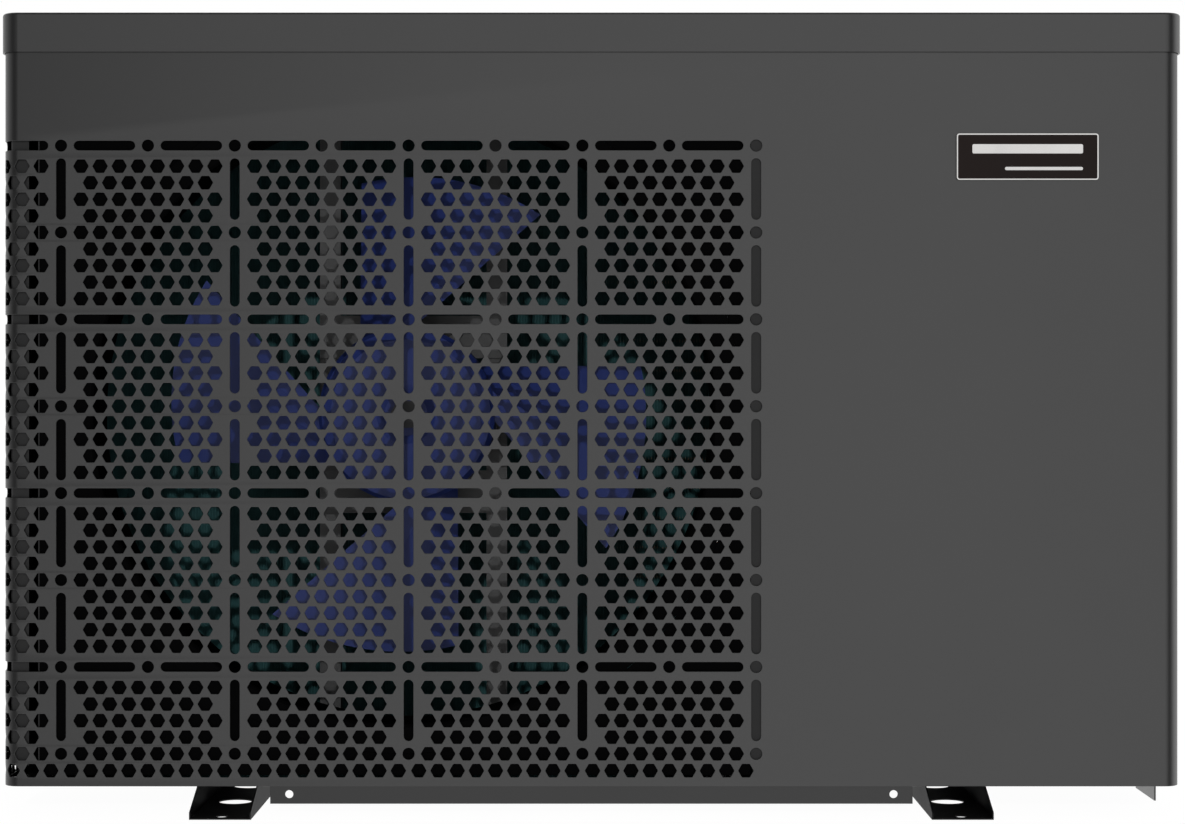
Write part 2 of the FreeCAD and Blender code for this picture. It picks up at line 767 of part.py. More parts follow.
# Fan: ring, shroud plate, bracket, motor, shaft, impeller and nut, all on one axis along Y
duct = body("ring_body")
profile = sketch(duct, "ring_profile", "XY_Plane")
outline(profile, [
    ("ring_inner", "-156"), ("ring_inner + 2", "-158.2"), ("ring_flange", "-158.2"),
    ("ring_flange", "-155.6"), ("ring_inner + 5", "-155.6"), ("ring_inner + 3", "-150"),
    ("ring_inner + 3", "ring_back - 6"), ("ring_outer", "ring_back - 1.5"),
    ("ring_outer", "ring_back"), ("ring_outer - 2", "ring_back"), ("ring_inner", "ring_back - 7"),
])
revolve(duct, "ring_turn", profile)
bind(duct, BASE, ("fan_x", "0", "fan_z"))
keep(duct, "fan_ring")
shroud = box("shroud_plate", ("partition_x - 2.4 - shroud_left", "1.6", "panel_top - body_base - 12"),
             ("shroud_left", "shroud_front", "body_base + 8"))
shroud_hole = rod("shroud_hole", "y", "ring_flange + 0.3", "6", ("fan_x", "shroud_front - 2", "fan_z"))
keep(cut("shroud_cut", shroud, [shroud_hole]), "fan_shroud")

post_size = ("post_width", "14", "panel_top - body_base - 18")
arms = []
for k, sign in enumerate(("-", "+")):
    corner = ("fan_x %s post_offset - post_width / 2" % sign, "bracket_y", "body_base + 14")
    arms.append(box("bracket_post_%d" % k, post_size, corner))
    lengths = ("2 * post_offset + post_width", "1.6", "cross_height")
    corner = ("fan_x - post_offset - post_width / 2", "bracket_y - 1.6",
              "fan_z %s cross_offset - cross_height / 2" % sign)
    arms.append(box("bracket_cross_%d" % k, lengths, corner))
    lengths = ("2 * post_offset + post_width + 20", "40", "1.6")
    level = "body_base + 14" if sign == "-" else "panel_top - 5.6"
    corner = ("fan_x - post_offset - post_width / 2 - 10", "bracket_y", level)
    arms.append(box("bracket_foot_%d" % k, lengths, corner))
keep(fuse("bracket", arms), "motor_bracket")

motor = body("motor_body")
profile = sketch(motor, "motor_profile", "XY_Plane")
outline(profile, [
    ("shaft_radius + shaft_play", "motor_front"), ("14", "motor_front"), ("14", "motor_front + 5"),
    ("motor_radius - 4", "motor_front + 5"), ("motor_radius", "motor_front + 9"),
    ("motor_radius", "motor_front + 40"), ("motor_radius - 2", "motor_front + 42"),
    ("motor_radius - 2", "motor_back - 8"), ("motor_radius - 10", "motor_back"),
    ("10", "motor_back"), ("10", "motor_front + 40"), ("shaft_radius + shaft_play", "motor_front + 40"),
])
revolve(motor, "motor_turn", profile)
bind(motor, BASE, ("fan_x", "0", "fan_z"))
lugs = [motor]
for k, turn in enumerate((60, 120, 240, 300)):
    lug = box("motor_lug_%d" % k, ("22", "3", "12"), ("0", "0", "0"))
    arm = FreeCAD.Rotation(V(0, 1, 0), turn)
    lug.Placement = FreeCAD.Placement(V(), arm)
    offset = arm.multVec(V(36, 0, -6))
    level = "bracket_y - 4.6"
    bind(lug, BASE, ("fan_x + %.6f" % offset.x, level, "fan_z + %.6f" % offset.z))
    lugs.append(lug)
keep(fuse("motor", lugs), "fan_motor")
spindle = rod("spindle", "y", "shaft_radius", "94", ("fan_x", "fan_front - 6", "fan_z"))
keep(spindle, "motor_shaft")

hub = body("hub_body")
profile = sketch(hub, "hub_profile", "XY_Plane")
outline(profile, [
    ("shaft_radius", "fan_front + 3"), ("16", "fan_front + 3"), ("22", "fan_front + 1"),
    ("hub_radius - 10", "fan_front"), ("hub_radius - 3", "fan_front + 3"), ("hub_radius", "fan_front + 9"),
    ("hub_radius", "fan_back"), ("hub_radius - 3", "fan_back"), ("hub_radius - 3", "fan_front + 10"),
    ("hub_radius - 11", "fan_front + 4"), ("24", "fan_front + 5"), ("15", "fan_front + 8"),
    ("15", "fan_back + 2"), ("shaft_radius", "fan_back + 2"),
])
revolve(hub, "hub_turn", profile)
doc.recompute()
tip = number("fan_tip")
edge = number("blade_edge")
thick = number("blade_gauge")


def blade_section(height, chord):
    """Cambered section of a blade at one height above the axis."""
    back, front_y = number("fan_back") - 3, number("fan_front") + 3
    middle = (back + front_y) / 2
    rise = min(front_y - middle, 0) * min(chord / 60, 1)
    outer = []
    inner = []
    for k in range(5):
        t = k / 4
        y = middle - rise + 2 * rise * t - 5 * math.sin(math.pi * t)
        taper = thick * (0.3 + 0.7 * math.sin(math.pi * min(max(t, 0.08), 0.92)))
        outer.append(V(-edge + chord * t, y - taper / 2, height))
        inner.append(V(-edge + chord * t, y + taper / 2, height))
    loop = outer + inner[::-1]
    return Part.makePolygon(loop + loop[:1])


low, high = 50, 190
lean = (94 - 24.7) / (144 - 83)
sections = [blade_section(z, edge + 24.7 + lean * (z - 83)) for z in (low, high)]
blade = Part.makeLoft(sections, True, True)
span = number("fan_back - fan_front") + 20
limit = Part.makeCylinder(tip, span, V(0, number("fan_front") - 10, 0), V(0, 1, 0))
core = Part.makeCylinder(number("hub_radius") - 1.5, span, V(0, number("fan_front") - 10, 0), V(0, 1, 0))
blade = blade.common(limit).cut(core)
wheel = hub.Shape.copy()
blades = []
for k in range(4):
    turned = blade.copy()
    turned.rotate(V(), V(0, 1, 0), 90 * k)
    blades.append(turned)
wheel = wheel.fuse(blades).removeSplitter()
wheel_place = FreeCAD.Placement(V(number("fan_x"), 0, number("fan_z")), FreeCAD.Rotation())
keep(feature("wheel", wheel, wheel_place), "fan_impeller")
nut = doc.addObject("Part::Prism", "nut_prism")
nut.Polygon = 6
nut.Placement = FreeCAD.Placement(V(), TURN["y"])
bind(nut, ("Circumradius", "Height"), ("shaft_radius + 5.5", "10.4"))
bind(nut, BASE, ("fan_x", "fan_front - 7.6", "fan_z"))
nut_bore = rod("nut_bore", "y", "shaft_radius", "12", ("fan_x", "fan_front - 6.05", "fan_z"))
keep(cut("nut_cut", nut, [nut_bore]), "fan_nut")

# Evaporator: finned block round the back and left, end plates, end cover and return bends
fin_height = "coil_top - coil_base"
keep(fuse("coil_block", [
    box("coil_rear", ("coil_right - coil_left", "coil_depth", fin_height),
        ("coil_left", "coil_back - coil_depth", "coil_base")),
    box("coil_side", ("coil_depth", "coil_back - coil_front", fin_height),
        ("coil_left", "coil_front", "coil_base")),
]), "evaporator_fins")
keep(group("coil_plates", [
    box("coil_plate_rear", ("1.5", "coil_depth + 8", fin_height),
        ("coil_right + 0.2", "coil_back - coil_depth - 6", "coil_base")),
    box("coil_closer", ("9", "1.5", fin_height), ("coil_right + 1.7", "coil_back + 0.5", "coil_base")),
    box("coil_edge_side", ("0.8", "8", fin_height), ("shroud_left - 0.4", "coil_front - 23.4", "coil_base")),
]), "evaporator_end_plates")
keep(box("coil_cap_side", ("coil_depth + 11.4", "15", fin_height),
         ("coil_left - 8.4", "coil_front - 15.2", "coil_base")), "coil_end_cover")
bends = []
for k in range(11):
    z = number("coil_base") + 30 + k * 50
    rear_spot = V(number("coil_right") + 1.7, number("coil_back - coil_depth / 2"), z)
    rear_bend = Part.makeTorus(4, 3, V(), V(0, 0, 1), -180, 180, 180)
    rear_bend.rotate(V(), V(0, 0, 1), -90)
    rear_bend.translate(rear_spot)
    bends.append(rear_bend)
keep(feature("coil_bends", Part.makeCompound(bends)), "evaporator_return_bends")

# Compressor, accumulator and their supports
can = body("can_body")
profile = sketch(can, "can_profile", "XZ_Plane")
outline(profile, [
    ("0", "0"), ("compressor_radius - 14", "0"), ("compressor_radius", "12"),
    ("compressor_radius", "compressor_height - 34"), ("compressor_radius - 6", "compressor_height - 20"),
    ("compressor_radius - 22", "compressor_height - 10"), ("8", "compressor_height - 6"),
    ("8", "compressor_height"), ("0", "compressor_height"),
])
revolve(can, "can_turn", profile)
bind(can, BASE, ("compressor_x", "compressor_y", "compressor_base"))
keep(can, "compressor")
tank = body("tank_body")
profile = sketch(tank, "tank_profile", "XZ_Plane")
outline(profile, [
    ("0", "0"), ("accumulator_radius - 12", "0"), ("accumulator_radius", "12"),
    ("accumulator_radius", "138"), ("accumulator_radius - 14", "150"),
    ("7", "152"), ("7", "160"), ("0", "160"),
])
revolve(tank, "tank_turn", profile)
bind(tank, BASE, ("accumulator_x", "accumulator_y", "compressor_base + 24"))
strap_reach = "compressor_y - compressor_radius - accumulator_y - accumulator_radius + 4.9"
strap = box("tank_strap", ("16", strap_reach, "30"),
            ("accumulator_x - 8", "accumulator_y + accumulator_radius - 5", "compressor_base + 100"))
keep(fuse("tank_whole", [tank, strap]), "accumulator")
stand = doc.addObject("Part::Prism", "stand_prism")
stand.Polygon = 3
stand.Placement = FreeCAD.Placement(V(), FreeCAD.Rotation(V(0, 0, 1), 90))
bind(stand, ("Circumradius", "Height"), ("compressor_radius + 24", "2.5"))
bind(stand, BASE, ("compressor_x", "compressor_y", "compressor_base - 2.5"))
keep(stand, "compressor_base_plate")
pads = []
for k in range(3):
    turn = math.radians(90 + 120 * k)
    x = "compressor_x + %.6f * (compressor_radius + 2)" % math.cos(turn)
    y = "compressor_y + %.6f * (compressor_radius + 2)" % math.sin(turn)
    pad_height = "compressor_base - 2.5 - body_base - 1.2"
    pads.append(rod("pad_%d" % k, "z", "11", pad_height, (x, y, "body_base + 1.2")))
keep(group("pads", pads), "compressor_mounts")

# Heat exchanger: water vessel with two threaded stubs, bands and the titanium coil inside
vessel = body("vessel_body")
profile = sketch(vessel, "vessel_profile", "XZ_Plane")
outline(profile, [
    ("0", "exchanger_base"), ("exchanger_radius - 10", "exchanger_base"),
    ("exchanger_radius", "exchanger_base + 12"), ("exchanger_radius", "exchanger_top - 34"),
    ("exchanger_radius - 20", "exchanger_top - 10"), ("20", "exchanger_top"), ("0", "exchanger_top"),
    ("0", "exchanger_top - 6"), ("20", "exchanger_top - 6"), ("exchanger_radius - 25", "exchanger_top - 17"),
    ("exchanger_radius - 6", "exchanger_top - 38"), ("exchanger_radius - 6", "exchanger_base + 12"),
    ("exchanger_radius - 12", "exchanger_base + 6"), ("0", "exchanger_base + 6"),
])
revolve(vessel, "vessel_turn", profile)
bind(vessel, BASE, ("exchanger_x", "exchanger_y", "0"))
stub_start = "exchanger_x + exchanger_radius - 5"
stub_length = "440.8 - exchanger_x - exchanger_radius + 5"
stubs = [vessel]
bores = []
for name in ("inlet", "outlet"):
    spot = (stub_start, "union_y", name + "_z")
    stubs.append(rod(name + "_stub", "x", "33", stub_length, spot))
    start = ("exchanger_x + exchanger_radius - 30", "union_y", name + "_z")
    bores.append(rod(name + "_way", "x", "22", "80", start))
keep(cut("vessel_cut", fuse("vessel_stubs", stubs), bores), "exchanger_vessel")
bands = []
for k, level in enumerate(("210", "390")):
    foot = ("exchanger_x", "exchanger_y", level)
    below = ("exchanger_x", "exchanger_y", level + " - 1")
    outer = rod("band_outer_%d" % k, "z", "exchanger_radius + 1.6", "18", foot)
    inner = rod("band_inner_%d" % k, "z", "exchanger_radius", "20", below)
    bands.append(cut("band_%d" % k, outer, [inner]))
keep(group("bands", bands), "exchanger_bands")
turns = []
for k in range(14):
    height = number("exchanger_base") + 34 + 23 * k
    centre = V(number("exchanger_x"), number("exchanger_y"), height)
    turns.append(Part.makeTorus(number("exchanger_radius") - 24, 6.5, centre))
keep(feature("titanium_rings", Part.makeCompound(turns)), "titanium_coil")

# Water unions: a socket tail held on each stub by a ribbed nut
for name in ("inlet", "outlet"):
    level = name + "_z"
    start = ("441.0", "union_y", level)
    tail = fuse(name + "_tail_solid", [
        rod(name + "_tail_tube", "x", "tail_radius", "union_reach - 441.0", start),
        rod(name + "_tail_flange", "x", "35.4", "5", start),
    ])
    tools = [
        rod(name + "_socket", "x", "pipe_radius", "pipe_socket + 1",
            ("union_reach - pipe_socket", "union_y", level)),
        rod(name + "_through", "x", "22", "20", ("430", "union_y", level)),
    ]
    keep(cut(name + "_tail_cut", tail, tools), name + "_union_tail")
    reach = number("nut_front - nut_back")
    grip = Part.makeCylinder(number("nut_radius"), reach, V(), V(1, 0, 0))
    count = int(number("nut_ribs"))
    ribs = []
    for k in range(count):
        rib = Part.makeBox(reach - 4, 4.5, 5, V(2, -2.25, number("nut_radius") - 3))
        rib.rotate(V(), V(1, 0, 0), 360 / count * k)
        ribs.append(rib)
    grip = grip.fuse(ribs)
    back = number("nut_back")
    for radius, x0, x1 in ((33.07, back - 1, 440.9), (35.5, 440.85, 446.3), (31.07, 446.2, 480)):
        grip = grip.cut(Part.makeCylinder(radius, x1 - x0, V(x0 - back, 0, 0), V(1, 0, 0)))
    place = FreeCAD.Placement(V(back, number("union_y"), number(level)), FreeCAD.Rotation())
    keep(feature(name + "_grip", grip, place), name + "_union_nut")

# Refrigerant circuit
valve_parts = [rod("valve_can", "x", "15", "90", ("160", "6", "380"))]
for k, x in enumerate(("178", "205", "232")):
    valve_parts.append(rod("valve_leg_%d" % k, "z", "6", "26", (x, "6", "345")))
valve_parts.append(rod("valve_pilot", "x", "6", "50", ("180", "-12", "398")))
valve_parts.append(box("valve_saddle", ("20", "14", "8"), ("195", "-14", "386")))
keep(fuse("valve", valve_parts), "four_way_valve")
keep(fuse("metering", [
    rod("metering_body", "z", "9", "34", ("160", "118", "400")),
    rod("metering_coil", "z", "17", "26", ("160", "118", "430")),
    rod("metering_leg", "z", "5", "24", ("160", "118", "380")),
]), "expansion_valve")
keep(fuse("drier", [
    rod("drier_can", "z", "14", "70", ("160", "118", "300")),
    cone("drier_top", "z", ("14", "5"), "10", ("160", "118", "370")),
    cone("drier_foot", "z", ("5", "14"), "10", ("160", "118", "290")),
]), "filter_drier")


def pipe(points, radius, turn):
    """A round pipe along straight runs joined by bends of one radius."""
    runs = [V(*point) for point in points]
    parts = []
    start = runs[0]
    for before, corner, after in zip(runs, runs[1:], runs[2:]):
        a = (before - corner).normalize()
        b = (after - corner).normalize()
        half = a.getAngle(b) / 2
        reach = turn / math.tan(half)
        p = corner + a * reach
        q = corner + b * reach
        spread = (a + b).normalize()
        middle = corner + spread * (turn / math.sin(half) - turn)
        parts.append(Part.LineSegment(start, p).toShape())
        parts.append(Part.Arc(p, middle, q).toShape())
        start = q
    parts.append(Part.LineSegment(start, runs[-1]).toShape())
    path = Part.Wire(parts)
    section = Part.Wire([Part.Circle(runs[0], runs[1] - runs[0], radius).toShape()])
    return path.makePipeShell([section], True, False)


can_top = number("compressor_base + compressor_height")
can_x, can_y = number("compressor_x"), number("compressor_y")
tank_top = number("compressor_base") + 24 + 160
tank_x, tank_y = number("accumulator_x"), number("accumulator_y")
discharge = pipe([(can_x, can_y, can_top), (can_x, can_y, 440), (205, 6, 440), (205, 6, 395)], 5, 14)
keep(feature("discharge_run", discharge), "discharge_pipe")
suction = pipe([(tank_x, tank_y, tank_top), (tank_x, tank_y, 310), (205, 6, 310), (205, 6, 345)], 6, 14)
keep(feature("suction_run", suction), "suction_pipe")
liquid_route = [(338, 66, 432), (338, 66, 474), (250, 118, 474), (250, 118, 262), (160, 118, 262), (160, 118, 290)]
liquid = pipe(liquid_route, 5, 16)
keep(feature("liquid_run", liquid), "liquid_pipe")

# Electrical compartment
tray_size = ("box_right - box_left", "box_back - box_front", "box_top - box_base")
tray_box = box("tray_outer", tray_size, ("box_left", "box_front", "box_base"))
tray_void = box("tray_void",
                ("box_right - box_left - 2.4", "box_back - box_front", "box_top - box_base - 2.4"),
                ("box_left + 1.2", "box_front - 1.2", "box_base + 1.2"))
keep(cut("tray_cut", tray_box, [tray_void]), "electrical_box")
keep(box("tray_cover", ("box_right - box_left", "1.2", "box_top - box_base"),
         ("box_left", "box_front - 1.4", "box_base")), "electrical_box_cover")
board_parts = [box("board", ("200", "1.6", "130"), ("box_left + 20", "box_back - 8", "box_base + 20"))]
for k in range(4):
    spot = ("box_left + 45 + %d * 40" % k, "box_back - 34", "box_base + 60")
    board_parts.append(rod("capacitor_%d" % k, "y", "12", "26", spot))
relay_corner = ("box_left + 50", "box_back - 26", "box_base + 100")
board_parts.append(box("relay_row", ("120", "18", "22"), relay_corner))
keep(fuse("board_parts", board_parts), "control_board")
sink_parts = [box("sink_plate", ("70", "5", "60"), ("box_left + 150", "box_front + 12", "box_base + 30"))]
for k in range(8):
    spot = ("box_left + 150 + %d * 9.5" % k, "box_front + 17", "box_base + 30")
    sink_parts.append(box("sink_fin_%d" % k, ("2.5", "24", "60"), spot))
keep(fuse("sink", sink_parts), "heat_sink")

# Wiring cover, terminals and cable glands on the right-hand side
wall = "body_width / 2 + 0.1"
cover = box("wiring_shell", ("8.6", "wiring_width", "wiring_height"),
            (wall, "wiring_y - wiring_width / 2", "wiring_z - wiring_height / 2"))
cover_void = box("wiring_void", ("7.2", "wiring_width - 4", "wiring_height - 4"),
                 (wall + " - 0.2", "wiring_y - wiring_width / 2 + 2", "wiring_z - wiring_height / 2 + 2"))
keep(cut("wiring_cut", cover, [cover_void]), "wiring_cover")
block = [box("terminal_base", ("3", "70", "26"), (wall, "wiring_y - 35", "wiring_z - 13"))]
for k in range(7):
    block.append(box("terminal_wall_%d" % k, ("3", "1.6", "26"),
                     (wall + " + 3", "wiring_y - 35 + %.1f" % (11.4 * k), "wiring_z - 13")))
keep(fuse("terminals", block), "terminal_block")
glands = []
for k, offset in enumerate(("-", "+")):
    spot_y = "gland_y %s gland_spacing / 2" % offset
    nut_hex = doc.addObject("Part::Prism", "gland_hex_%d" % k)
    nut_hex.Polygon = 6
    nut_hex.Placement = FreeCAD.Placement(V(), TURN["x"])
    bind(nut_hex, ("Circumradius", "Height"), ("13", "5"))
    bind(nut_hex, BASE, (wall, spot_y, "gland_z"))
    solid = fuse("gland_solid_%d" % k, [
        nut_hex,
        rod("gland_thread_%d" % k, "x", "gland_bore + 1.6", "14", ("body_width / 2 - 10", spot_y, "gland_z")),
        rod("gland_cap_%d" % k, "x", "10.5", "gland_cap", (wall + " + 4", spot_y, "gland_z")),
    ])
    hole = rod("gland_way_%d" % k, "x", "gland_bore", "60", ("body_width / 2 - 30", spot_y, "gland_z"))
    glands.append(cut("gland_%d" % k, solid, [hole]))
keep(group("glands", glands), "cable_glands")

# Pressure gauge
gauge_start = (wall, "gauge_y", "gauge_z")
case = cut("gauge_cup", rod("gauge_can", "x", "gauge_radius", "9", gauge_start), [
    rod("gauge_recess", "x", "gauge_radius - 2.5", "9", (wall + " + 2", "gauge_y", "gauge_z")),
])
gauge_pivot = rod("gauge_pivot", "x", "1.2", "3", (wall + " + 1.5", "gauge_y", "gauge_z"))
keep(fuse("gauge_whole", [case, gauge_pivot]),
     "gauge_case")
pointer = fuse("pointer_whole", [
    rod("pointer_hub", "x", "3.4", "1.2", (wall + " + 2.4", "gauge_y", "gauge_z")),
    box("pointer_arm", ("0.8", "1.4", "18"), (wall + " + 2.6", "gauge_y - 0.7", "gauge_z")),
])
keep(cut("pointer_cut", pointer, [rod("pointer_bore", "x", "1.26", "6", (wall, "gauge_y", "gauge_z"))]),
     "gauge_needle")
gauge_glass = rod("gauge_glass", "x", "gauge_radius - 2.5", "1.4", (wall + " + 7", "gauge_y", "gauge_z"))
keep(gauge_glass, "gauge_lens")

# Controller: base with screen and keys under a flap that lifts about its top edge
low_y = "control_y - control_width / 2"
low_z = "control_z - control_height / 2"
face_x = wall + " + control_reach"
hinge_x = wall + " + 7.4"
hinge_z = "control_z + control_height / 2 + 2.4"
base = [box("control_block", ("control_reach", "control_width", "control_height"), (wall, low_y, low_z))]
for k, offset in enumerate(("3.5", "control_width - 9.2")):
    base.append(box("control_cheek_%d" % k, ("9.4", "5.7", "7.6"),
                    (wall, low_y + " + " + offset, "control_z + control_height / 2 - 2.8")))
base.append(rod("control_pin_0", "y", "1.0", "8", (hinge_x, low_y + " + 5", hinge_z)))
base.append(rod("control_pin_1", "y", "1.0", "8", (hinge_x, low_y + " + control_width - 13", hinge_z)))
tools = [box("screen_recess", ("3", "62", "32"), (face_x + " - 1.6", "control_y - 31", "control_z + 6"))]
keys = (("key_down", "-24"), ("key_power", "0"), ("key_up", "24"))
for name, offset in keys:
    spot = (face_x + " - 3.8", "control_y + " + offset, "control_z - 24")
    tools.append(rod(name + "_well", "x", "key_radius + 0.35", "6", spot))
keep(cut("control_cut", fuse("control_base", base), tools), "controller_base")
keep(box("screen_glass", ("1.2", "61.6", "31.6"), (face_x + " - 1.5", "control_y - 30.8", "control_z + 6.2")),
     "controller_screen")
for name, offset in keys:
    spot = (face_x + " - 2.4", "control_y + " + offset, "control_z - 24")
    keep(rod(name + "_button", "x", "key_radius", "2.9", spot), name)
flap_x = wall + " + control_reach + 0.9"
flap = fuse("flap_whole", [
    box("flap_plate", ("flap_gauge", "control_width - 1", "control_height - 5"),
        (flap_x, low_y + " + 0.5", low_z + " + 0.5")),
    box("flap_neck", ("flap_gauge", "control_width - 20.4", "7"),
        (flap_x, low_y + " + 10.2", "control_z + control_height / 2 - 5")),
    rod("flap_barrel", "y", "2.0", "control_width - 20.4", (hinge_x, low_y + " + 10.2", hinge_z)),
])
tools = [
    rod("flap_bore_0", "y", "1.08", "8", (hinge_x, low_y + " + 9", hinge_z)),
    rod("flap_bore_1", "y", "1.08", "8", (hinge_x, low_y + " + control_width - 17", hinge_z)),
]
keep(cut("flap_cut", flap, tools), "controller_flap")

# Badge plate, drain and fasteners
badge = body("badge_body")
face = sketch(badge, "badge_face", "XZ_Plane")
rectangle(face, ("0", "0"), ("badge_width", "badge_height"))
pad(badge, "badge_pad", face, "badge_gauge")
doc.recompute()
corner_names = []
for index, edge in enumerate(badge.Shape.Edges):
    extent = edge.BoundBox
    if extent.XLength + extent.ZLength < 0.01:
        corner_names.append("Edge%d" % (index + 1))
fillet(badge, "badge_round", badge.Tip, corner_names, "2")
bind(badge, BASE, ("badge_x", "-body_depth / 2 - 0.05", "badge_z"))
keep(badge, "badge_plate")
spout = fuse("spout", [
    rod("spout_tube", "z", "7", "18", ("-20", "60", "6")),
    rod("spout_flange", "z", "12", "2", ("-20", "60", "body_base - 2.1")),
])
spout_way = rod("spout_way", "z", "4.5", "30", ("-20", "60", "0"))
keep(cut("spout_cut", spout, [spout_way]), "drain_nipple")


def screw(name, axis, sign, spot):
    """A pan-head screw whose head stands off a panel face on one side."""
    x, y, z = spot
    if axis == "x":
        head = (x if sign else x + " - 2", y, z)
        shank = (x + " - 1.1" if sign else x + " - 0.1", y, z)
    else:
        head = (x, y, z)
        shank = (x, y + " - 1.1", z)
    return fuse(name, [
        rod(name + "_head", axis, "screw_head", "2", head),
        rod(name + "_shank", axis, "screw_shank", "1.2", shank),
    ])


fasteners = []
for k, (sign, axis, across) in enumerate(lid_spots):
    if axis == "x":
        spot = (("lid_width / 2" if not sign else "-lid_width / 2"), across, screw_level)
    else:
        spot = (across, "lid_depth / 2", screw_level)
    fasteners.append(screw("lid_screw_%d" % k, axis, not sign, spot))
keep(group("lid_fasteners", fasteners), "lid_screws")
fasteners = []
for k, (y, z) in enumerate(screw_spots):
    fasteners.append(screw("side_screw_%d" % k, "x", True, ("body_width / 2", y, z)))
for k, (x, z) in enumerate(rear_spots):
    fasteners.append(screw("rear_screw_%d" % k, "y", True, (x, "body_depth / 2", z)))
keep(group("panel_fasteners", fasteners), "panel_screws")

# ---------------------------------------------------------------------------------------------
doc.recompute()
for item in doc.Objects:
    bad = [state for state in item.State if state in ("Invalid", "Error")]
    if bad:
        raise RuntimeError("%s is %s" % (item.Name, bad))
for item in kept:
    if item.Shape.isNull() or not item.Shape.isValid():
        raise RuntimeError("%s has no valid shape" % item.Label)
    if item.Shape.Volume < 1:
        raise RuntimeError("%s is empty" % item.Label)
for item in kept:
    item.Shape.exportStep("parts/%s.step" % item.Label)
print(len(kept), "sub-parts written")
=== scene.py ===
import math

import bmesh
import bpy
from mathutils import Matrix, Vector


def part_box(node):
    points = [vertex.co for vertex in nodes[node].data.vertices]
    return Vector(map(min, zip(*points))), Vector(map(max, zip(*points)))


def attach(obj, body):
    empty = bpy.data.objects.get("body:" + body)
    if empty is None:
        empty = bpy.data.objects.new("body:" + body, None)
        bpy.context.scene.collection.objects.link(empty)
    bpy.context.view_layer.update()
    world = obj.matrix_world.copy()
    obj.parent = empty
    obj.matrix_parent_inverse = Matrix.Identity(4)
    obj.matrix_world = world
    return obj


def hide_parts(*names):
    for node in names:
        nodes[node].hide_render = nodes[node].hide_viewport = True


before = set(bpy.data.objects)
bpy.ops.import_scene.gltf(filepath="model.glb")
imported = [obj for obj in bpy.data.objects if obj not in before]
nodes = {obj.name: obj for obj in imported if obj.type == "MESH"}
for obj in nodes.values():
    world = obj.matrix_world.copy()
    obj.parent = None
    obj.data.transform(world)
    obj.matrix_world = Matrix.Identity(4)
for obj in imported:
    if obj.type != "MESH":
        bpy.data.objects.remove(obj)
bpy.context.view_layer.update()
scene = bpy.context.scene
MM = 0.001

# ------------------------------------------------------------------ materials


def shader_of(made):
    return made.node_tree.nodes["Principled BSDF"]


def material(name, color, metallic=0.0, roughness=0.5, specular=0.5, coat=0.0, alpha=1.0):
    """A principled material with its plain values on the shader's own sockets."""
    made = bpy.data.materials.new(name)
    made.use_nodes = True
    shader = shader_of(made)
    shader.inputs["Base Color"].default_value = (*color, 1.0)
    shader.inputs["Metallic"].default_value = metallic
    shader.inputs["Roughness"].default_value = roughness
    shader.inputs["Specular IOR Level"].default_value = specular
    shader.inputs["Coat Weight"].default_value = coat
    shader.inputs["Alpha"].default_value = alpha
    return made


def add(made, kind, **values):
    """A node with its input values set by socket name, its spaces written as underscores."""
    node = made.node_tree.nodes.new(kind)
    for key, value in values.items():
        node.inputs[key.replace("_", " ")].default_value = value
    return node


def link(made, source, target):
    made.node_tree.links.new(source, target)


def object_coordinates(made):
    return add(made, "ShaderNodeTexCoord").outputs["Object"]


def bumpy(made, grain, strength, distance, detail=3.0, stretch=None):
    """Fine surface relief from noise in object space; a larger grain value is finer."""
    place = object_coordinates(made)
    if stretch:
        mapping = add(made, "ShaderNodeMapping")
        mapping.inputs["Scale"].default_value = stretch
        link(made, place, mapping.inputs["Vector"])
        place = mapping.outputs["Vector"]
    noise = add(made, "ShaderNodeTexNoise", Scale=grain, Detail=detail, Roughness=0.6)
    link(made, place, noise.inputs["Vector"])
    bump = add(made, "ShaderNodeBump", Strength=strength, Distance=distance)
    link(made, noise.outputs["Fac"], bump.inputs["Height"])
    link(made, bump.outputs["Normal"], shader_of(made).inputs["Normal"])


def worn(made, low, high, patches, tints=None):
    """Uneven roughness, and colour where two tints are given, from broad noise."""
    shader = shader_of(made)
    noise = add(made, "ShaderNodeTexNoise", Scale=patches, Detail=5.0, Roughness=0.65)
    link(made, object_coordinates(made), noise.inputs["Vector"])
    spread = add(made, "ShaderNodeMapRange", From_Min=0.3, From_Max=0.7, To_Min=low, To_Max=high)
    link(made, noise.outputs["Fac"], spread.inputs["Value"])
    link(made, spread.outputs["Result"], shader.inputs["Roughness"])
    if tints:
        ramp = add(made, "ShaderNodeValToRGB")
        for stop, place, tint in zip(ramp.color_ramp.elements, (0.35, 0.65), tints):
            stop.position = place
            stop.color = (*tint, 1)
        link(made, noise.outputs["Fac"], ramp.inputs["Fac"])
        link(made, ramp.outputs["Color"], shader.inputs["Base Color"])


def surface(name, color, relief, wear=None, tints=None, stretch=None, **look):
    """A material with fine relief and, where wear is given, uneven gloss.

    relief is the grain, strength and distance; wear is the lowest and highest roughness and the patches.
    """
    made = material(name, color, **look)
    bumpy(made, *relief, stretch=stretch)
    if wear:
        worn(made, *wear, tints)
    return made


def shades(color, *factors):
    return tuple(tuple(c * factor for c in color) for factor in factors)


def coat_paint(name, color, grain=2600.0, strength=0.16, specular=0.7):
    """Powder coat: fine grained relief over slightly uneven gloss."""
    return surface(name, color, (grain, strength, 0.0002, 2.0), (0.28, 0.33, 5.0),
                   shades(color, 0.96, 1.04), roughness=0.3, specular=specular)


def plastic(name, color, low=0.4, high=0.52, grain=900.0, strength=0.1):
    return surface(name, color, (grain, strength, 0.0002), (low, high, 14.0),
                   roughness=0.45, specular=0.45)


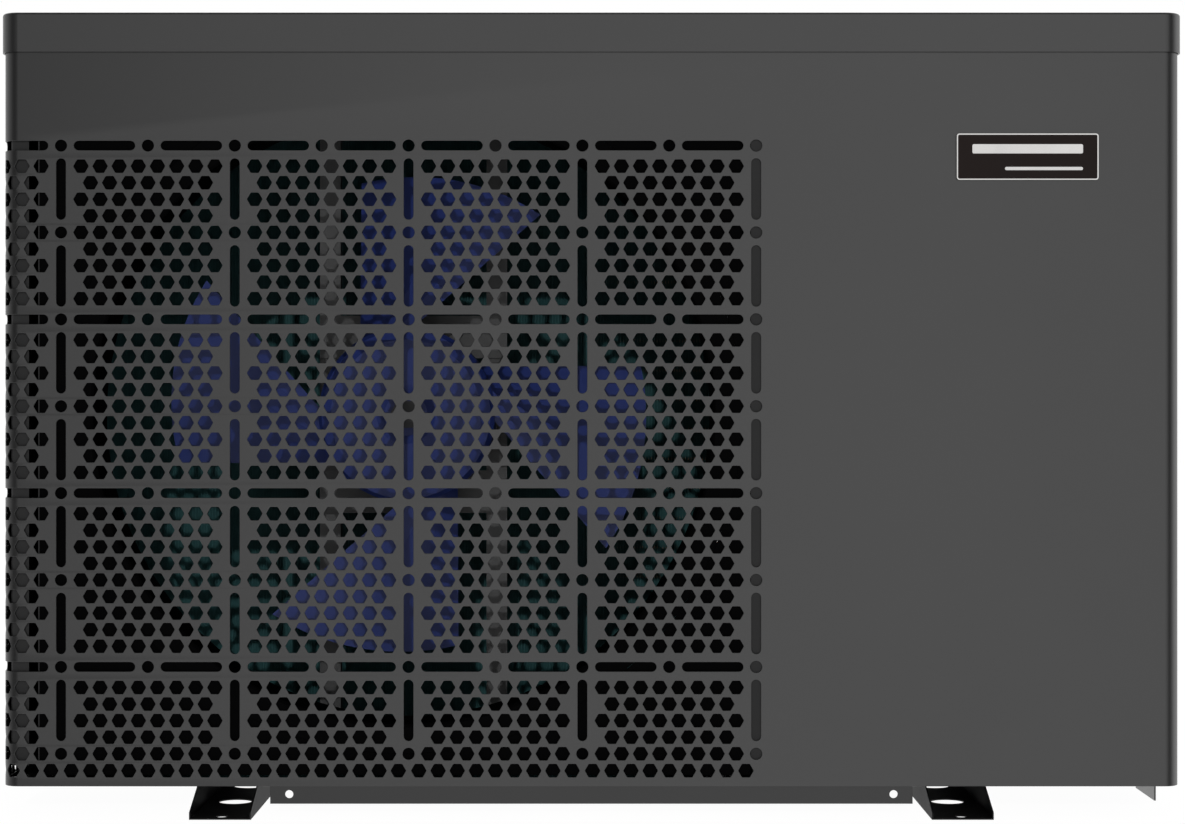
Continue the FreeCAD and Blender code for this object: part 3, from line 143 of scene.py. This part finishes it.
def metal(name, color, low=0.25, high=0.4, stretch=(1, 1, 1), grain=500.0, strength=0.08):
    return surface(name, color, (grain, strength, 0.0001), (low, high, 18.0),
                   shades(color, 0.88, 1.0), stretch, metallic=1.0, roughness=0.3)


cabinet_paint = coat_paint("cabinet_powder_coat", (0.008, 0.008, 0.0081))
lid_paint = coat_paint("lid_powder_coat", (0.008, 0.008, 0.0081))
foot_paint = surface("foot_black_paint", (0.0035, 0.0035, 0.0037), (1500.0, 0.1, 0.0002),
                     (0.55, 0.65, 8.0), roughness=0.6, specular=0.16)
pan_paint = coat_paint("pan_dark_paint", (0.004, 0.004, 0.0041), 1800.0, 0.12, 0.55)
inner_steel = metal("galvanised_steel", (0.33, 0.34, 0.35), 0.42, 0.58, (1, 1, 1), 160.0, 0.05)
bracket_paint = plastic("bracket_grey", (0.052, 0.0522, 0.0526), 0.42, 0.52, 900.0, 0.06)
post_paint = surface("post_dark_paint", (0.012, 0.012, 0.0122), (900.0, 0.06, 0.0002),
                     (0.5, 0.6, 9.0), roughness=0.55, specular=0.22)
# Black plastic for the fan ring and shroud, made darker and duller than real plastic so that it also
# stands for painted shade inside the cabinet.
black_plastic_and_shade = surface("ring_black_plastic_and_shade", (0.0010, 0.0010, 0.0011), (500.0, 0.1, 0.0002),
                       (0.74, 0.86, 12.0), roughness=0.8, specular=0.02)
black_plastic = plastic("black_plastic", (0.012, 0.012, 0.0125))
guard_plastic = plastic("guard_plastic", (0.018, 0.018, 0.019), 0.5, 0.62, 700.0)
union_plastic = plastic("union_plastic", (0.02, 0.02, 0.0205), 0.3, 0.4, 400.0, 0.05)
fan_plastic = plastic("fan_blue_plastic", (0.011, 0.021, 0.105), 0.42, 0.54, 500.0, 0.05)
fin_tints = ((0.040, 0.115, 0.120), (0.060, 0.160, 0.165))
fin_metal = surface("coil_fins_coated", (0.05, 0.14, 0.145), (1.0, 0.35, 0.0004, 2.0),
                    (0.36, 0.52, 20.0), fin_tints, (300, 300, 1400), metallic=0.2, roughness=0.42)
copper = metal("bare_copper", (0.72, 0.36, 0.22), 0.22, 0.42, (1, 1, 1), 260.0, 0.05)
brass = metal("bare_brass", (0.74, 0.52, 0.24), 0.22, 0.36)
titanium = metal("bare_titanium", (0.42, 0.40, 0.38), 0.3, 0.42)
zinc = metal("zinc_steel", (0.58, 0.58, 0.60), 0.26, 0.4, (1, 1, 1), 900.0, 0.06)
turned_steel = metal("turned_steel", (0.5, 0.5, 0.52), 0.2, 0.32, (6, 80, 6), 90.0, 0.12)
motor_paint = plastic("motor_black_paint", (0.02, 0.02, 0.021), 0.4, 0.5, 800.0, 0.08)
can_paint = surface("compressor_gloss_paint", (0.008, 0.008, 0.0085), (90.0, 0.06, 0.0006),
                    (0.18, 0.3, 9.0), roughness=0.22, specular=0.5, coat=0.3)
rubber = plastic("black_rubber", (0.011, 0.011, 0.011), 0.72, 0.86, 600.0, 0.2)
board_green = plastic("board_green", (0.012, 0.12, 0.05), 0.35, 0.5, 1200.0, 0.2)
sink_metal = metal("sink_aluminium", (0.66, 0.66, 0.68), 0.28, 0.4, (1, 1, 30), 120.0, 0.08)
needle_paint = plastic("needle_red", (0.45, 0.02, 0.015), 0.35, 0.45)
key_rubber = plastic("key_grey_rubber", (0.16, 0.16, 0.165), 0.55, 0.7, 900.0, 0.12)
smoke_plastic = surface("flap_gloss_plastic", (0.012, 0.012, 0.013), (60.0, 0.03, 0.0003),
                        (0.14, 0.24, 8.0), roughness=0.18, specular=0.5, coat=0.4)
screen_gloss = surface("screen_gloss", (0.006, 0.010, 0.012), (20.0, 0.01, 0.0002),
                       roughness=0.08, specular=0.5, coat=0.6)
lens_clear = surface("gauge_lens", (0.9, 0.93, 0.93), (20.0, 0.01, 0.0001),
                     roughness=0.05, specular=0.5, alpha=0.25)
lens_clear.surface_render_method = "BLENDED"
badge_black = surface("badge_black", (0.012, 0.0085, 0.0078), (40.0, 0.03, 0.0002),
                      (0.4, 0.5, 30.0), roughness=0.45, specular=0.06)
badge_silver = metal("badge_silver", (0.56, 0.55, 0.54), 0.16, 0.28, (60, 60, 2), 60.0, 0.05)

USES = {
    cabinet_paint: ["front_panel", "left_side_panel", "right_side_panel", "rear_panel"],
    lid_paint: ["top_lid"],
    foot_paint: ["foot_left", "foot_right"],
    pan_paint: ["base_pan"],
    guard_plastic: ["rear_guard"],
    inner_steel: ["evaporator_end_plates", "compressor_base_plate",
                  "electrical_box", "electrical_box_cover"],
    bracket_paint: ["motor_bracket"],
    # coil_end_cover in this near-black is painted shade: a dark cover over the coil's front ends, which
    # are only in shade.
    black_plastic_and_shade: ["fan_ring", "fan_shroud", "coil_end_cover"],
    post_paint: ["front_left_post", "partition_panel"],
    black_plastic: ["fan_nut", "exchanger_vessel", "wiring_cover", "terminal_block",
                    "cable_glands", "controller_base", "drain_nipple"],
    motor_paint: ["fan_motor"],
    turned_steel: ["motor_shaft"],
    fan_plastic: ["fan_impeller"],
    fin_metal: ["evaporator_fins"],
    copper: ["evaporator_return_bends", "filter_drier", "discharge_pipe", "suction_pipe",
             "liquid_pipe"],
    can_paint: ["compressor", "accumulator"],
    rubber: ["compressor_mounts"],
    zinc: ["exchanger_bands", "gauge_case", "lid_screws", "panel_screws"],
    titanium: ["titanium_coil"],
    union_plastic: ["inlet_union_tail", "outlet_union_tail", "inlet_union_nut", "outlet_union_nut"],
    brass: ["four_way_valve", "expansion_valve"],
    board_green: ["control_board"],
    sink_metal: ["heat_sink"],
    needle_paint: ["gauge_needle"],
    lens_clear: ["gauge_lens"],
    screen_gloss: ["controller_screen"],
    smoke_plastic: ["controller_flap"],
    key_rubber: ["key_down", "key_power", "key_up"],
    badge_black: ["badge_plate"],
}
for made, names in USES.items():
    for name in names:
        nodes[name].data.materials.clear()
        nodes[name].data.materials.append(made)

# ------------------------------------------------------------------ mesh helpers


def piece(name, mesh, made, stands_for=(), smooth=35):
    """A new piece that rides on the cabinet; edges sharper than smooth degrees stay sharp."""
    shaped = bpy.data.objects.new(name, mesh)
    scene.collection.objects.link(shaped)
    mesh.materials.clear()
    mesh.materials.append(made)
    if smooth:
        mesh.shade_smooth()
        mesh.set_sharp_from_angle(angle=math.radians(smooth))
    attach(shaped, "cabinet")
    if stands_for:
        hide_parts(*stands_for)
    return shaped


def from_bmesh(name, bm):
    """The finished mesh of a bmesh, which is freed."""
    mesh = bpy.data.meshes.new(name)
    bm.normal_update()
    bm.to_mesh(mesh)
    bm.free()
    return mesh


def soften(node, width, segments=2, angle=40):
    """A small bevel on a CAD node's hard edges."""
    modifier = nodes[node].modifiers.new("edge", "BEVEL")
    modifier.width = width
    modifier.segments = segments
    modifier.limit_method = "ANGLE"
    modifier.angle_limit = math.radians(angle)
    modifier.harden_normals = False


# ------------------------------------------------------------------ perforated sheets
# Sizes in mm. u is the distance along the flat sheet, equal to x where the sheet faces the front.
sheet_low, sheet_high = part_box("front_panel")
HALF_W = sheet_high.x / MM
HALF_D = -sheet_low.y / MM
BASE_Z, TOP_Z = sheet_low.z / MM, sheet_high.z / MM
GAUGE = 1.2
BEND = 12.0
ARC = BEND * math.pi / 2
RETURN = 12.0
TURN_L = BEND - HALF_W
TURN_R = HALF_W - BEND
SHIFT = HALF_D - BEND - (TURN_L - ARC)
REAR = BEND - HALF_D - SHIFT

# The slot lines, and the holes' places from the crossing of two of them.
PITCH = 127.55
LINES = [-389.3 + PITCH * k for k in range(-2, 5)]
LEVELS = [492.4 - PITCH * k for k in range(4)]
DOT_R = 4.4
SLOT_R, SLOT_RUN = 3.5, 19.0
HEX_APOTHEM, HEX_ROUND = 4.9, 1.1
HEX_STEP, HEX_RISE = 14.04, 12.16
HEX_IN, HEX_DOWN = 14.63, 15.1
EDGE_ROW_Z, EDGE_IN = 33.6, 7.5
HOLE_HALF, SLOT_HALF = 5.0, 22.5
LOW_RIM = 4.0


def rounded_hexagon(u, z):
    """Outline of a hexagonal hole whose corners are slightly rounded."""
    r = HEX_ROUND
    inset = (HEX_APOTHEM - r) / math.cos(math.pi / 6)
    points = []
    for k in range(6):
        turn = math.radians(60 * k)
        cx, cz = inset * math.cos(turn), inset * math.sin(turn)
        for step in (-30, -10, 10, 30):
            a = turn + math.radians(step)
            points.append((u + cx + r * math.cos(a), z + cz + r * math.sin(a)))
    return points


def dot(u, z, count=20):
    """Outline of a round hole."""
    turns = [2 * math.pi * k / count for k in range(count)]
    return [(u + DOT_R * math.cos(a), z + DOT_R * math.sin(a)) for a in turns]


def stadium(u, z, upright):
    """Outline of a slot with round ends."""
    points = []
    for side, start in ((1, -math.pi / 2), (-1, math.pi / 2)):
        for k in range(9):
            a = start + math.pi * k / 8
            points.append((side * SLOT_RUN + SLOT_R * math.cos(a), SLOT_R * math.sin(a)))
    if upright:
        points = [(-b, a) for a, b in points]
    return [(u + a, z + b) for a, b in points]


def cell(line_u, line_z):
    """Outlines of all the holes of the cell left of and below one crossing."""
    found = []
    lowest = line_z < PITCH

    def put(shape, u, z, half=HOLE_HALF, *more):
        if z - half > BASE_Z + LOW_RIM:
            found.append(shape(u, z, *more))

    put(dot, line_u, line_z)
    put(dot, line_u, line_z - PITCH / 2)
    put(dot, line_u - PITCH / 2, line_z)
    for k in (1, 3):
        put(stadium, line_u, line_z - PITCH * k / 4, SLOT_HALF, True)
        put(stadium, line_u - PITCH * k / 4, line_z, SLOT_HALF, False)
    for row in range(5 if lowest else 9):
        odd = row % 2
        first = line_u - HEX_IN - (HEX_STEP / 2 if odd else 0)
        for k in range(7 if odd else 8):
            put(rounded_hexagon, first - HEX_STEP * k, line_z - HEX_DOWN - HEX_RISE * row)
    if lowest:
        first = line_u - HEX_IN - HEX_STEP / 2
        spots = [line_u - EDGE_IN, line_u - PITCH + EDGE_IN]
        for u in spots + [first - HEX_STEP * k for k in range(7)]:
            put(rounded_hexagon, u, EDGE_ROW_Z)
    return found


def flat_sheet(name, low_u, high_u, holes):
    """A flat sheet with holes and slightly rounded edges, its outer face at z = GAUGE / 2."""
    curve = bpy.data.curves.new(name + "_outline", "CURVE")
    curve.dimensions = "2D"
    curve.fill_mode = "BOTH"
    bevel = 0.22
    curve.extrude = GAUGE / 2 - bevel
    curve.bevel_depth = bevel
    curve.bevel_resolution = 1
    curve.offset = -bevel
    outer = [(low_u, BASE_Z), (high_u, BASE_Z), (high_u, TOP_Z), (low_u, TOP_Z)]
    for points in [outer] + holes:
        spline = curve.splines.new("POLY")
        spline.points.add(len(points) - 1)
        for point, (u, z) in zip(spline.points, points):
            point.co = (u, z, 0, 1)
        spline.use_cyclic_u = True
    holder = bpy.data.objects.new(name + "_flat", curve)
    scene.collection.objects.link(holder)
    bpy.context.view_layer.update()
    evaluated = holder.evaluated_get(bpy.context.evaluated_depsgraph_get())
    mesh = bpy.data.meshes.new_from_object(evaluated)
    bpy.data.objects.remove(holder)
    return mesh


def wrap(mesh, place, bends):
    """Cuts the flat sheet along each bend and moves every point to its place round the corners."""
    bm = bmesh.new()
    bm.from_mesh(mesh)
    bm.normal_update()
    for start, end in bends:
        for k in range(9):
            at = start + (end - start) * k / 8
            bmesh.ops.bisect_plane(bm, geom=bm.verts[:] + bm.edges[:] + bm.faces[:], dist=0.001,
                                   plane_co=(at, 0, 0), plane_no=(1, 0, 0))
    bmesh.ops.remove_doubles(bm, verts=bm.verts[:], dist=0.002)
    bm.normal_update()
    for edge in bm.edges:
        level = [abs(face.normal.z) > 0.999 for face in edge.link_faces]
        edge.smooth = all(level) or not any(level)
    for face in bm.faces:
        face.smooth = True
    for vertex in bm.verts:
        u, z, depth = vertex.co.x, vertex.co.y, GAUGE / 2 - vertex.co.z
        x, y = place(u, depth)
        vertex.co = (x * MM, y * MM, z * MM)
    bmesh.ops.recalc_face_normals(bm, faces=bm.faces[:])
    bm.to_mesh(mesh)
    bm.free()
    return mesh


def front_place(u, depth):
    """Plan position of a point of the front sheet from its distance along the sheet."""
    if u < TURN_L:
        over = (TURN_L - u) / BEND
        cx, sign = TURN_L, -1
    elif u > TURN_R:
        over = (u - TURN_R) / BEND
        cx, sign = TURN_R, 1
    else:
        return u, depth - HALF_D
    a = min(over, math.pi / 2)
    r = BEND - depth
    past = max(over - math.pi / 2, 0) * BEND
    return cx + sign * r * math.sin(a), BEND - HALF_D - r * math.cos(a) + past


def side_place(u, depth):
    """Plan position of a point of the left side sheet."""
    if u >= REAR:
        return depth - HALF_W, -u - SHIFT
    over = (REAR - u) / BEND
    a = min(over, math.pi / 2)
    r = BEND - depth
    past = max(over - math.pi / 2, 0) * BEND
    return BEND - HALF_W - r * math.cos(a) + past, HALF_D - BEND + r * math.sin(a)


# The seam between the two sheets runs just past the second slot line.
PAST_LINE = 6.9
SEAM_HALF_GAP, SEAM_RIM = 0.2, 1.5
seam = LINES[1] + PAST_LINE
side_holes_end = LINES[0] - PITCH * 0.62 + 4.0
front_holes = []
side_holes = []
for line_u in LINES:
    for line_z in LEVELS:
        for outline in cell(line_u, line_z):
            lowest = min(u for u, z in outline)
            highest = max(u for u, z in outline)
            if lowest > seam + SEAM_RIM and highest < LINES[-1] + PAST_LINE:
                front_holes.append(outline)
            elif lowest > side_holes_end and highest < seam - SEAM_RIM:
                side_holes.append(outline)
front_flat = flat_sheet("front_sheet", seam + SEAM_HALF_GAP, TURN_R + ARC + RETURN, front_holes)
piece("front_sheet", wrap(front_flat, front_place, [(TURN_L - ARC, TURN_L), (TURN_R, TURN_R + ARC)]),
      cabinet_paint, stands_for=["front_panel"], smooth=0)
side_flat = flat_sheet("side_sheet", REAR - ARC - RETURN, seam - SEAM_HALF_GAP, side_holes)
piece("left_side_sheet", wrap(side_flat, side_place, [(REAR - ARC, REAR)]),
      cabinet_paint, stands_for=["left_side_panel"], smooth=0)

# ------------------------------------------------------------------ evaporator


FIN_GAP, FIN_DEPTH = 2.4 * MM, 30 * MM
FIN_WAVES, FIN_SWING, FIN_HALF = 6, 1.3 * MM, 0.09 * MM
coil_low, coil_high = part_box("evaporator_fins")


def wavy_fin(bm, origin, across, along):
    """One thin corrugated fin: a zigzag plate running up the coil."""
    steps = FIN_WAVES
    rows = []
    for z in (coil_low.z, coil_high.z):
        ring = []
        for side in (-1, 1):
            line = []
            for k in range(steps + 1):
                offset = FIN_SWING * (1 if k % 2 else -1) + side * FIN_HALF
                spot = Vector(origin) + Vector(along) * FIN_DEPTH * k / steps + Vector(across) * offset
                line.append(bm.verts.new((spot.x, spot.y, z)))
            ring.append(line)
        rows.append(ring)
    for k in range(steps):
        for side in (0, 1):
            a, b = rows[0][side][k], rows[0][side][k + 1]
            c, d = rows[1][side][k + 1], rows[1][side][k]
            bm.faces.new((a, b, c, d) if side == 0 else (d, c, b, a))
        for level in (0, 1):
            a, b = rows[level][0][k], rows[level][0][k + 1]
            c, d = rows[level][1][k + 1], rows[level][1][k]
            bm.faces.new((d, c, b, a) if level == 0 else (a, b, c, d))
    for end in (0, steps):
        a, b = rows[0][0][end], rows[0][1][end]
        c, d = rows[1][1][end], rows[1][0][end]
        bm.faces.new((a, b, c, d) if end == steps else (d, c, b, a))


bm = bmesh.new()
for k in range(int((coil_high.x - coil_low.x) / FIN_GAP)):
    x = coil_low.x + FIN_GAP * (k + 0.6)
    wavy_fin(bm, (x, coil_high.y - FIN_DEPTH, 0), (1, 0, 0), (0, 1, 0))
piece("coil_fins_rear", from_bmesh("coil_fins_rear", bm), fin_metal,
      stands_for=["evaporator_fins"], smooth=0)
bm = bmesh.new()
for k in range(int((coil_high.y - FIN_DEPTH - coil_low.y) / FIN_GAP) - 1):
    y = coil_low.y + FIN_GAP * (k + 0.6)
    wavy_fin(bm, (coil_low.x, y, 0), (0, 1, 0), (1, 0, 0))
piece("coil_fins_side", from_bmesh("coil_fins_side", bm), fin_metal,
      stands_for=["evaporator_fins"], smooth=0)


def tube(bm, points, radius, sides=10):
    """A round tube through points, one ring at each."""
    rings = []
    places = [Vector(p) for p in points]
    for k, place in enumerate(places):
        before = places[max(k - 1, 0)]
        after = places[min(k + 1, len(places) - 1)]
        forward = (after - before).normalized()
        side = forward.orthogonal().normalized() if not rings else side - forward * side.dot(forward)
        side.normalize()
        up = forward.cross(side)
        turns = [2 * math.pi * s / sides for s in range(sides)]
        spots = [place + side * radius * math.cos(a) + up * radius * math.sin(a) for a in turns]
        rings.append([bm.verts.new(spot) for spot in spots])
    for one, two in zip(rings, rings[1:]):
        for s in range(sides):
            bm.faces.new((one[s], one[(s + 1) % sides], two[(s + 1) % sides], two[s]))
    bm.faces.new(rings[0][::-1])
    bm.faces.new(rings[-1])


TUBE_RADIUS, TUBE_BEND = 3.5 * MM, 12 * MM
TUBE_FIRST, TUBE_STEP, TUBE_LAST = 30 * MM, 25 * MM, 10 * MM
TUBE_ROWS = (7.5 * MM, 22.5 * MM)
TUBE_END = 0.2 * MM
bm = bmesh.new()
z = coil_low.z + TUBE_FIRST
while z < coil_high.z - TUBE_LAST:
    for inset in TUBE_ROWS:
        x, y, r = coil_low.x + inset, coil_high.y - inset, TUBE_BEND
        turns = [math.pi * k / 8 for k in (1, 2, 3)]
        path = [(coil_high.x - TUBE_END, y, z), (x + r, y, z)]
        path += [(x + r - r * math.sin(a), y - r + r * math.cos(a), z) for a in turns]
        path += [(x, y - r, z), (x, coil_low.y + TUBE_END, z)]
        tube(bm, path, TUBE_RADIUS)
    z += TUBE_STEP
piece("coil_tubes", from_bmesh("coil_tubes", bm), copper)

# ------------------------------------------------------------------ corner strip of painted shade, and shroud lip


def upright_strip(name, plan, low, high, made):
    """A strip of constant section standing between two levels, its section given in plan."""
    bm = bmesh.new()
    foot = [bm.verts.new((x * MM, y * MM, low * MM)) for x, y in plan]
    head = [bm.verts.new((x * MM, y * MM, high * MM)) for x, y in plan]
    bm.faces.new(foot[::-1])
    bm.faces.new(head)
    for k in range(len(plan)):
        n = (k + 1) % len(plan)
        bm.faces.new((foot[k], foot[n], head[n], head[k]))
    bmesh.ops.recalc_face_normals(bm, faces=bm.faces[:])
    return piece(name, from_bmesh(name, bm), made)


inside_x = GAUGE - HALF_W
# A near-black strip just inside the front-left bend: painted shade, a dark sheet where the corner's
# inside is only in shade.
shade_strip_plan = [(0.1, 12.6), (0.9, 12.6), (1.3, 13.4), (1.3, 19.8), (0.9, 20.6), (0.1, 20.6)]
upright_strip("corner_shade_strip", [(inside_x + x, y - HALF_D) for x, y in shade_strip_plan], 24, 586,
              black_plastic_and_shade)
lip_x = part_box("fan_shroud")[0].x / MM - 0.5
lip_plan = [(0, 1.5), (0.9, 1.5), (0.9, 1.95), (0, 1.95)]
upright_strip("shroud_lip", [(lip_x + x, y - HALF_D) for x, y in lip_plan], 34, 580,
              post_paint)

# ------------------------------------------------------------------ badge
badge_low, badge_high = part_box("badge_plate")


def plate_outline(low_x, high_x, low_z, high_z, r, count=5):
    """A rectangle with round corners of radius r, seen from the front."""
    points = []
    for cx, cz, start in ((high_x - r, high_z - r, 0), (low_x + r, high_z - r, 90),
                          (low_x + r, low_z + r, 180), (high_x - r, low_z + r, 270)):
        for k in range(count + 1):
            a = math.radians(start + 90 * k / count)
            points.append((cx + r * math.cos(a), cz + r * math.sin(a)))
    return points


def raised_frame(name, outer, inner, y_back, y_front):
    """A flat frame between two outlines of equal count, standing towards -Y."""
    bm = bmesh.new()
    layers = []
    for y in (y_back, y_front):
        layers.append([[bm.verts.new((x, y, z)) for x, z in ring] for ring in (outer, inner)])
    count = len(outer)
    for k in range(count):
        n = (k + 1) % count
        back, front = layers
        bm.faces.new((front[0][k], front[0][n], front[1][n], front[1][k]))
        bm.faces.new((back[0][n], back[0][k], back[1][k], back[1][n]))
        bm.faces.new((back[0][k], back[0][n], front[0][n], front[0][k]))
        bm.faces.new((back[1][n], back[1][k], front[1][k], front[1][n]))
    bmesh.ops.recalc_face_normals(bm, faces=bm.faces[:])
    return piece(name, from_bmesh(name, bm), badge_silver)


def raised_plate(name, outline, y_back, y_front):
    """A flat plate of one outline, standing towards -Y."""
    bm = bmesh.new()
    back = [bm.verts.new((x, y_back, z)) for x, z in outline]
    front = [bm.verts.new((x, y_front, z)) for x, z in outline]
    bm.faces.new(front)
    bm.faces.new(back[::-1])
    for k in range(len(outline)):
        n = (k + 1) % len(outline)
        bm.faces.new((back[k], back[n], front[n], front[k]))
    bmesh.ops.recalc_face_normals(bm, faces=bm.faces[:])
    return piece(name, from_bmesh(name, bm), badge_silver)


x0, x1, z0, z1 = badge_low.x, badge_high.x, badge_low.z, badge_high.z
RIM, RIM_RISE, BAR_RISE = 0.9 * MM, 0.25 * MM, 0.15 * MM
CORNER, RIM_CORNER, BAR_CORNER = 2 * MM, 1.2 * MM, 1.1 * MM
raised_frame("badge_rim", plate_outline(x0, x1, z0, z1, CORNER),
             plate_outline(x0 + RIM, x1 - RIM, z0 + RIM, z1 - RIM, RIM_CORNER),
             badge_low.y, badge_low.y - RIM_RISE)
# Each bar's left, right, low and high edge as a share of the plate's width and height.
BARS = {"badge_bar_long": (0.11, 0.89, 0.57, 0.77), "badge_bar_short": (0.34, 0.89, 0.21, 0.28)}
wide, tall = x1 - x0, z1 - z0
for name, (left, right, low, high) in BARS.items():
    outline = plate_outline(x0 + wide * left, x0 + wide * right,
                            z0 + tall * low, z0 + tall * high, BAR_CORNER)
    raised_plate(name, outline, badge_low.y, badge_low.y - BAR_RISE)

# ------------------------------------------------------------------ edges of CAD nodes
for name in ("foot_left", "foot_right"):
    soften(name, 0.0006)
soften("base_pan", 0.0004)
soften("controller_flap", 0.0006)
soften("wiring_cover", 0.0012, 3)

# ------------------------------------------------------------------ stage, light and camera
bm = bmesh.new()
bmesh.ops.create_grid(bm, x_segments=1, y_segments=1, size=12)
floor = bpy.data.objects.new("floor", from_bmesh("floor", bm))
scene.collection.objects.link(floor)
floor.location.z = -0.0004
floor_paint = material("floor_pale", (0.06, 0.06, 0.06), roughness=0.9, specular=0.0)
shader_of(floor_paint).inputs["Emission Color"].default_value = (1, 1, 1, 1)
shader_of(floor_paint).inputs["Emission Strength"].default_value = 0.97
floor.data.materials.append(floor_paint)
floor.visible_glossy = False

# The world's brightness depends on the bearing, 0 degrees being in front of the unit, so that the
# cabinet's faces mirror a bright front and its round corners the dark gaps on either side of it.
BRIGHTNESS = [(-130, 0.8), (-100, 0.75), (-70, 0.42), (-50, 0.05), (-30, 0.0), (-17, 0.5), (-9, 0.96),
              (12, 1.06), (24, 1.04), (46, 0.04), (57, 0.04), (70, 0.55), (84, 1.15), (100, 1.3),
              (130, 0.8)]

world = bpy.data.worlds.new("studio")
scene.world = world
world.use_nodes = True
background = world.node_tree.nodes["Background"]
background.inputs["Strength"].default_value = 1.25


def faded(source, smooth=True, **span):
    """A value mapped from one span to another."""
    made = add(world, "ShaderNodeMapRange", **span)
    made.interpolation_type = "SMOOTHSTEP" if smooth else "LINEAR"
    link(world, source, made.inputs["Value"])
    return made.outputs["Result"]


parts = add(world, "ShaderNodeSeparateXYZ")
link(world, add(world, "ShaderNodeTexCoord").outputs["Generated"], parts.inputs["Vector"])
ahead = add(world, "ShaderNodeMath")
ahead.operation = "MULTIPLY"
ahead.inputs[1].default_value = -1.0
link(world, parts.outputs["Y"], ahead.inputs[0])
bearing = add(world, "ShaderNodeMath")
bearing.operation = "ARCTAN2"
link(world, parts.outputs["X"], bearing.inputs[0])
link(world, ahead.outputs["Value"], bearing.inputs[1])
softboxes = add(world, "ShaderNodeValToRGB")
softboxes.color_ramp.interpolation = "EASE"
around = faded(bearing.outputs["Value"], smooth=False, From_Min=-math.pi, From_Max=math.pi)
link(world, around, softboxes.inputs["Fac"])
stops = softboxes.color_ramp.elements
while len(stops) < len(BRIGHTNESS):
    stops.new(0.5)
for stop, (degrees, level) in zip(stops, BRIGHTNESS):
    stop.position = degrees / 360 + 0.5
    stop.color = (level, level, level, 1)
dimmed = add(world, "ShaderNodeVectorMath")
dimmed.operation = "SCALE"
overhead = faded(parts.outputs["Z"], From_Min=0.3, From_Max=0.85, To_Min=1.0, To_Max=0.35)
link(world, softboxes.outputs["Color"], dimmed.inputs[0])
link(world, overhead, dimmed.inputs["Scale"])
blended = add(world, "ShaderNodeMix")
blended.data_type = "RGBA"
blended.inputs["B"].default_value = (0.9, 0.9, 0.9, 1)
underfoot = faded(parts.outputs["Z"], From_Min=-0.25, From_Max=-0.45)
link(world, underfoot, blended.inputs["Factor"])
link(world, dimmed.outputs["Vector"], blended.inputs["A"])
link(world, blended.outputs["Result"], background.inputs["Color"])


def lamp(name, kind, energy, place):
    """A lamp that polished faces don't mirror."""
    data = bpy.data.lights.new(name, kind)
    data.energy = energy
    made = bpy.data.objects.new(name, data)
    scene.collection.objects.link(made)
    made.location = place
    made.visible_glossy = False
    return made


key = lamp("key", "AREA", 4, (0.9, -2.6, 1.5))
key.data.shape = "SQUARE"
key.data.size = 0.8
key_aim = Vector((0.2, 0, 0.3))
key.rotation_mode = "QUATERNION"
key.rotation_quaternion = (key_aim - key.location).to_track_quat("-Z", "Y")

SUN_HEIGHT, SUN_SIDE = 20.2, -1.0
front_lamp = lamp("front_lamp", "SUN", 1.3, (-0.05, -3.0, 1.4))
front_lamp.data.angle = math.radians(0.6)
front_lamp.rotation_euler = (math.radians(90 - SUN_HEIGHT), 0, math.radians(SUN_SIDE))

data = bpy.data.cameras.new("camera")
data.sensor_width = 36.0
data.lens = 74.51
camera = bpy.data.objects.new("camera", data)
scene.collection.objects.link(camera)
camera.location = (0.0008, -1.9595, 0.2968)
camera.rotation_euler = (math.radians(90), 0, 0)
scene.camera = camera
scene.view_settings.view_transform = "Standard"
scene.view_settings.look = "None"
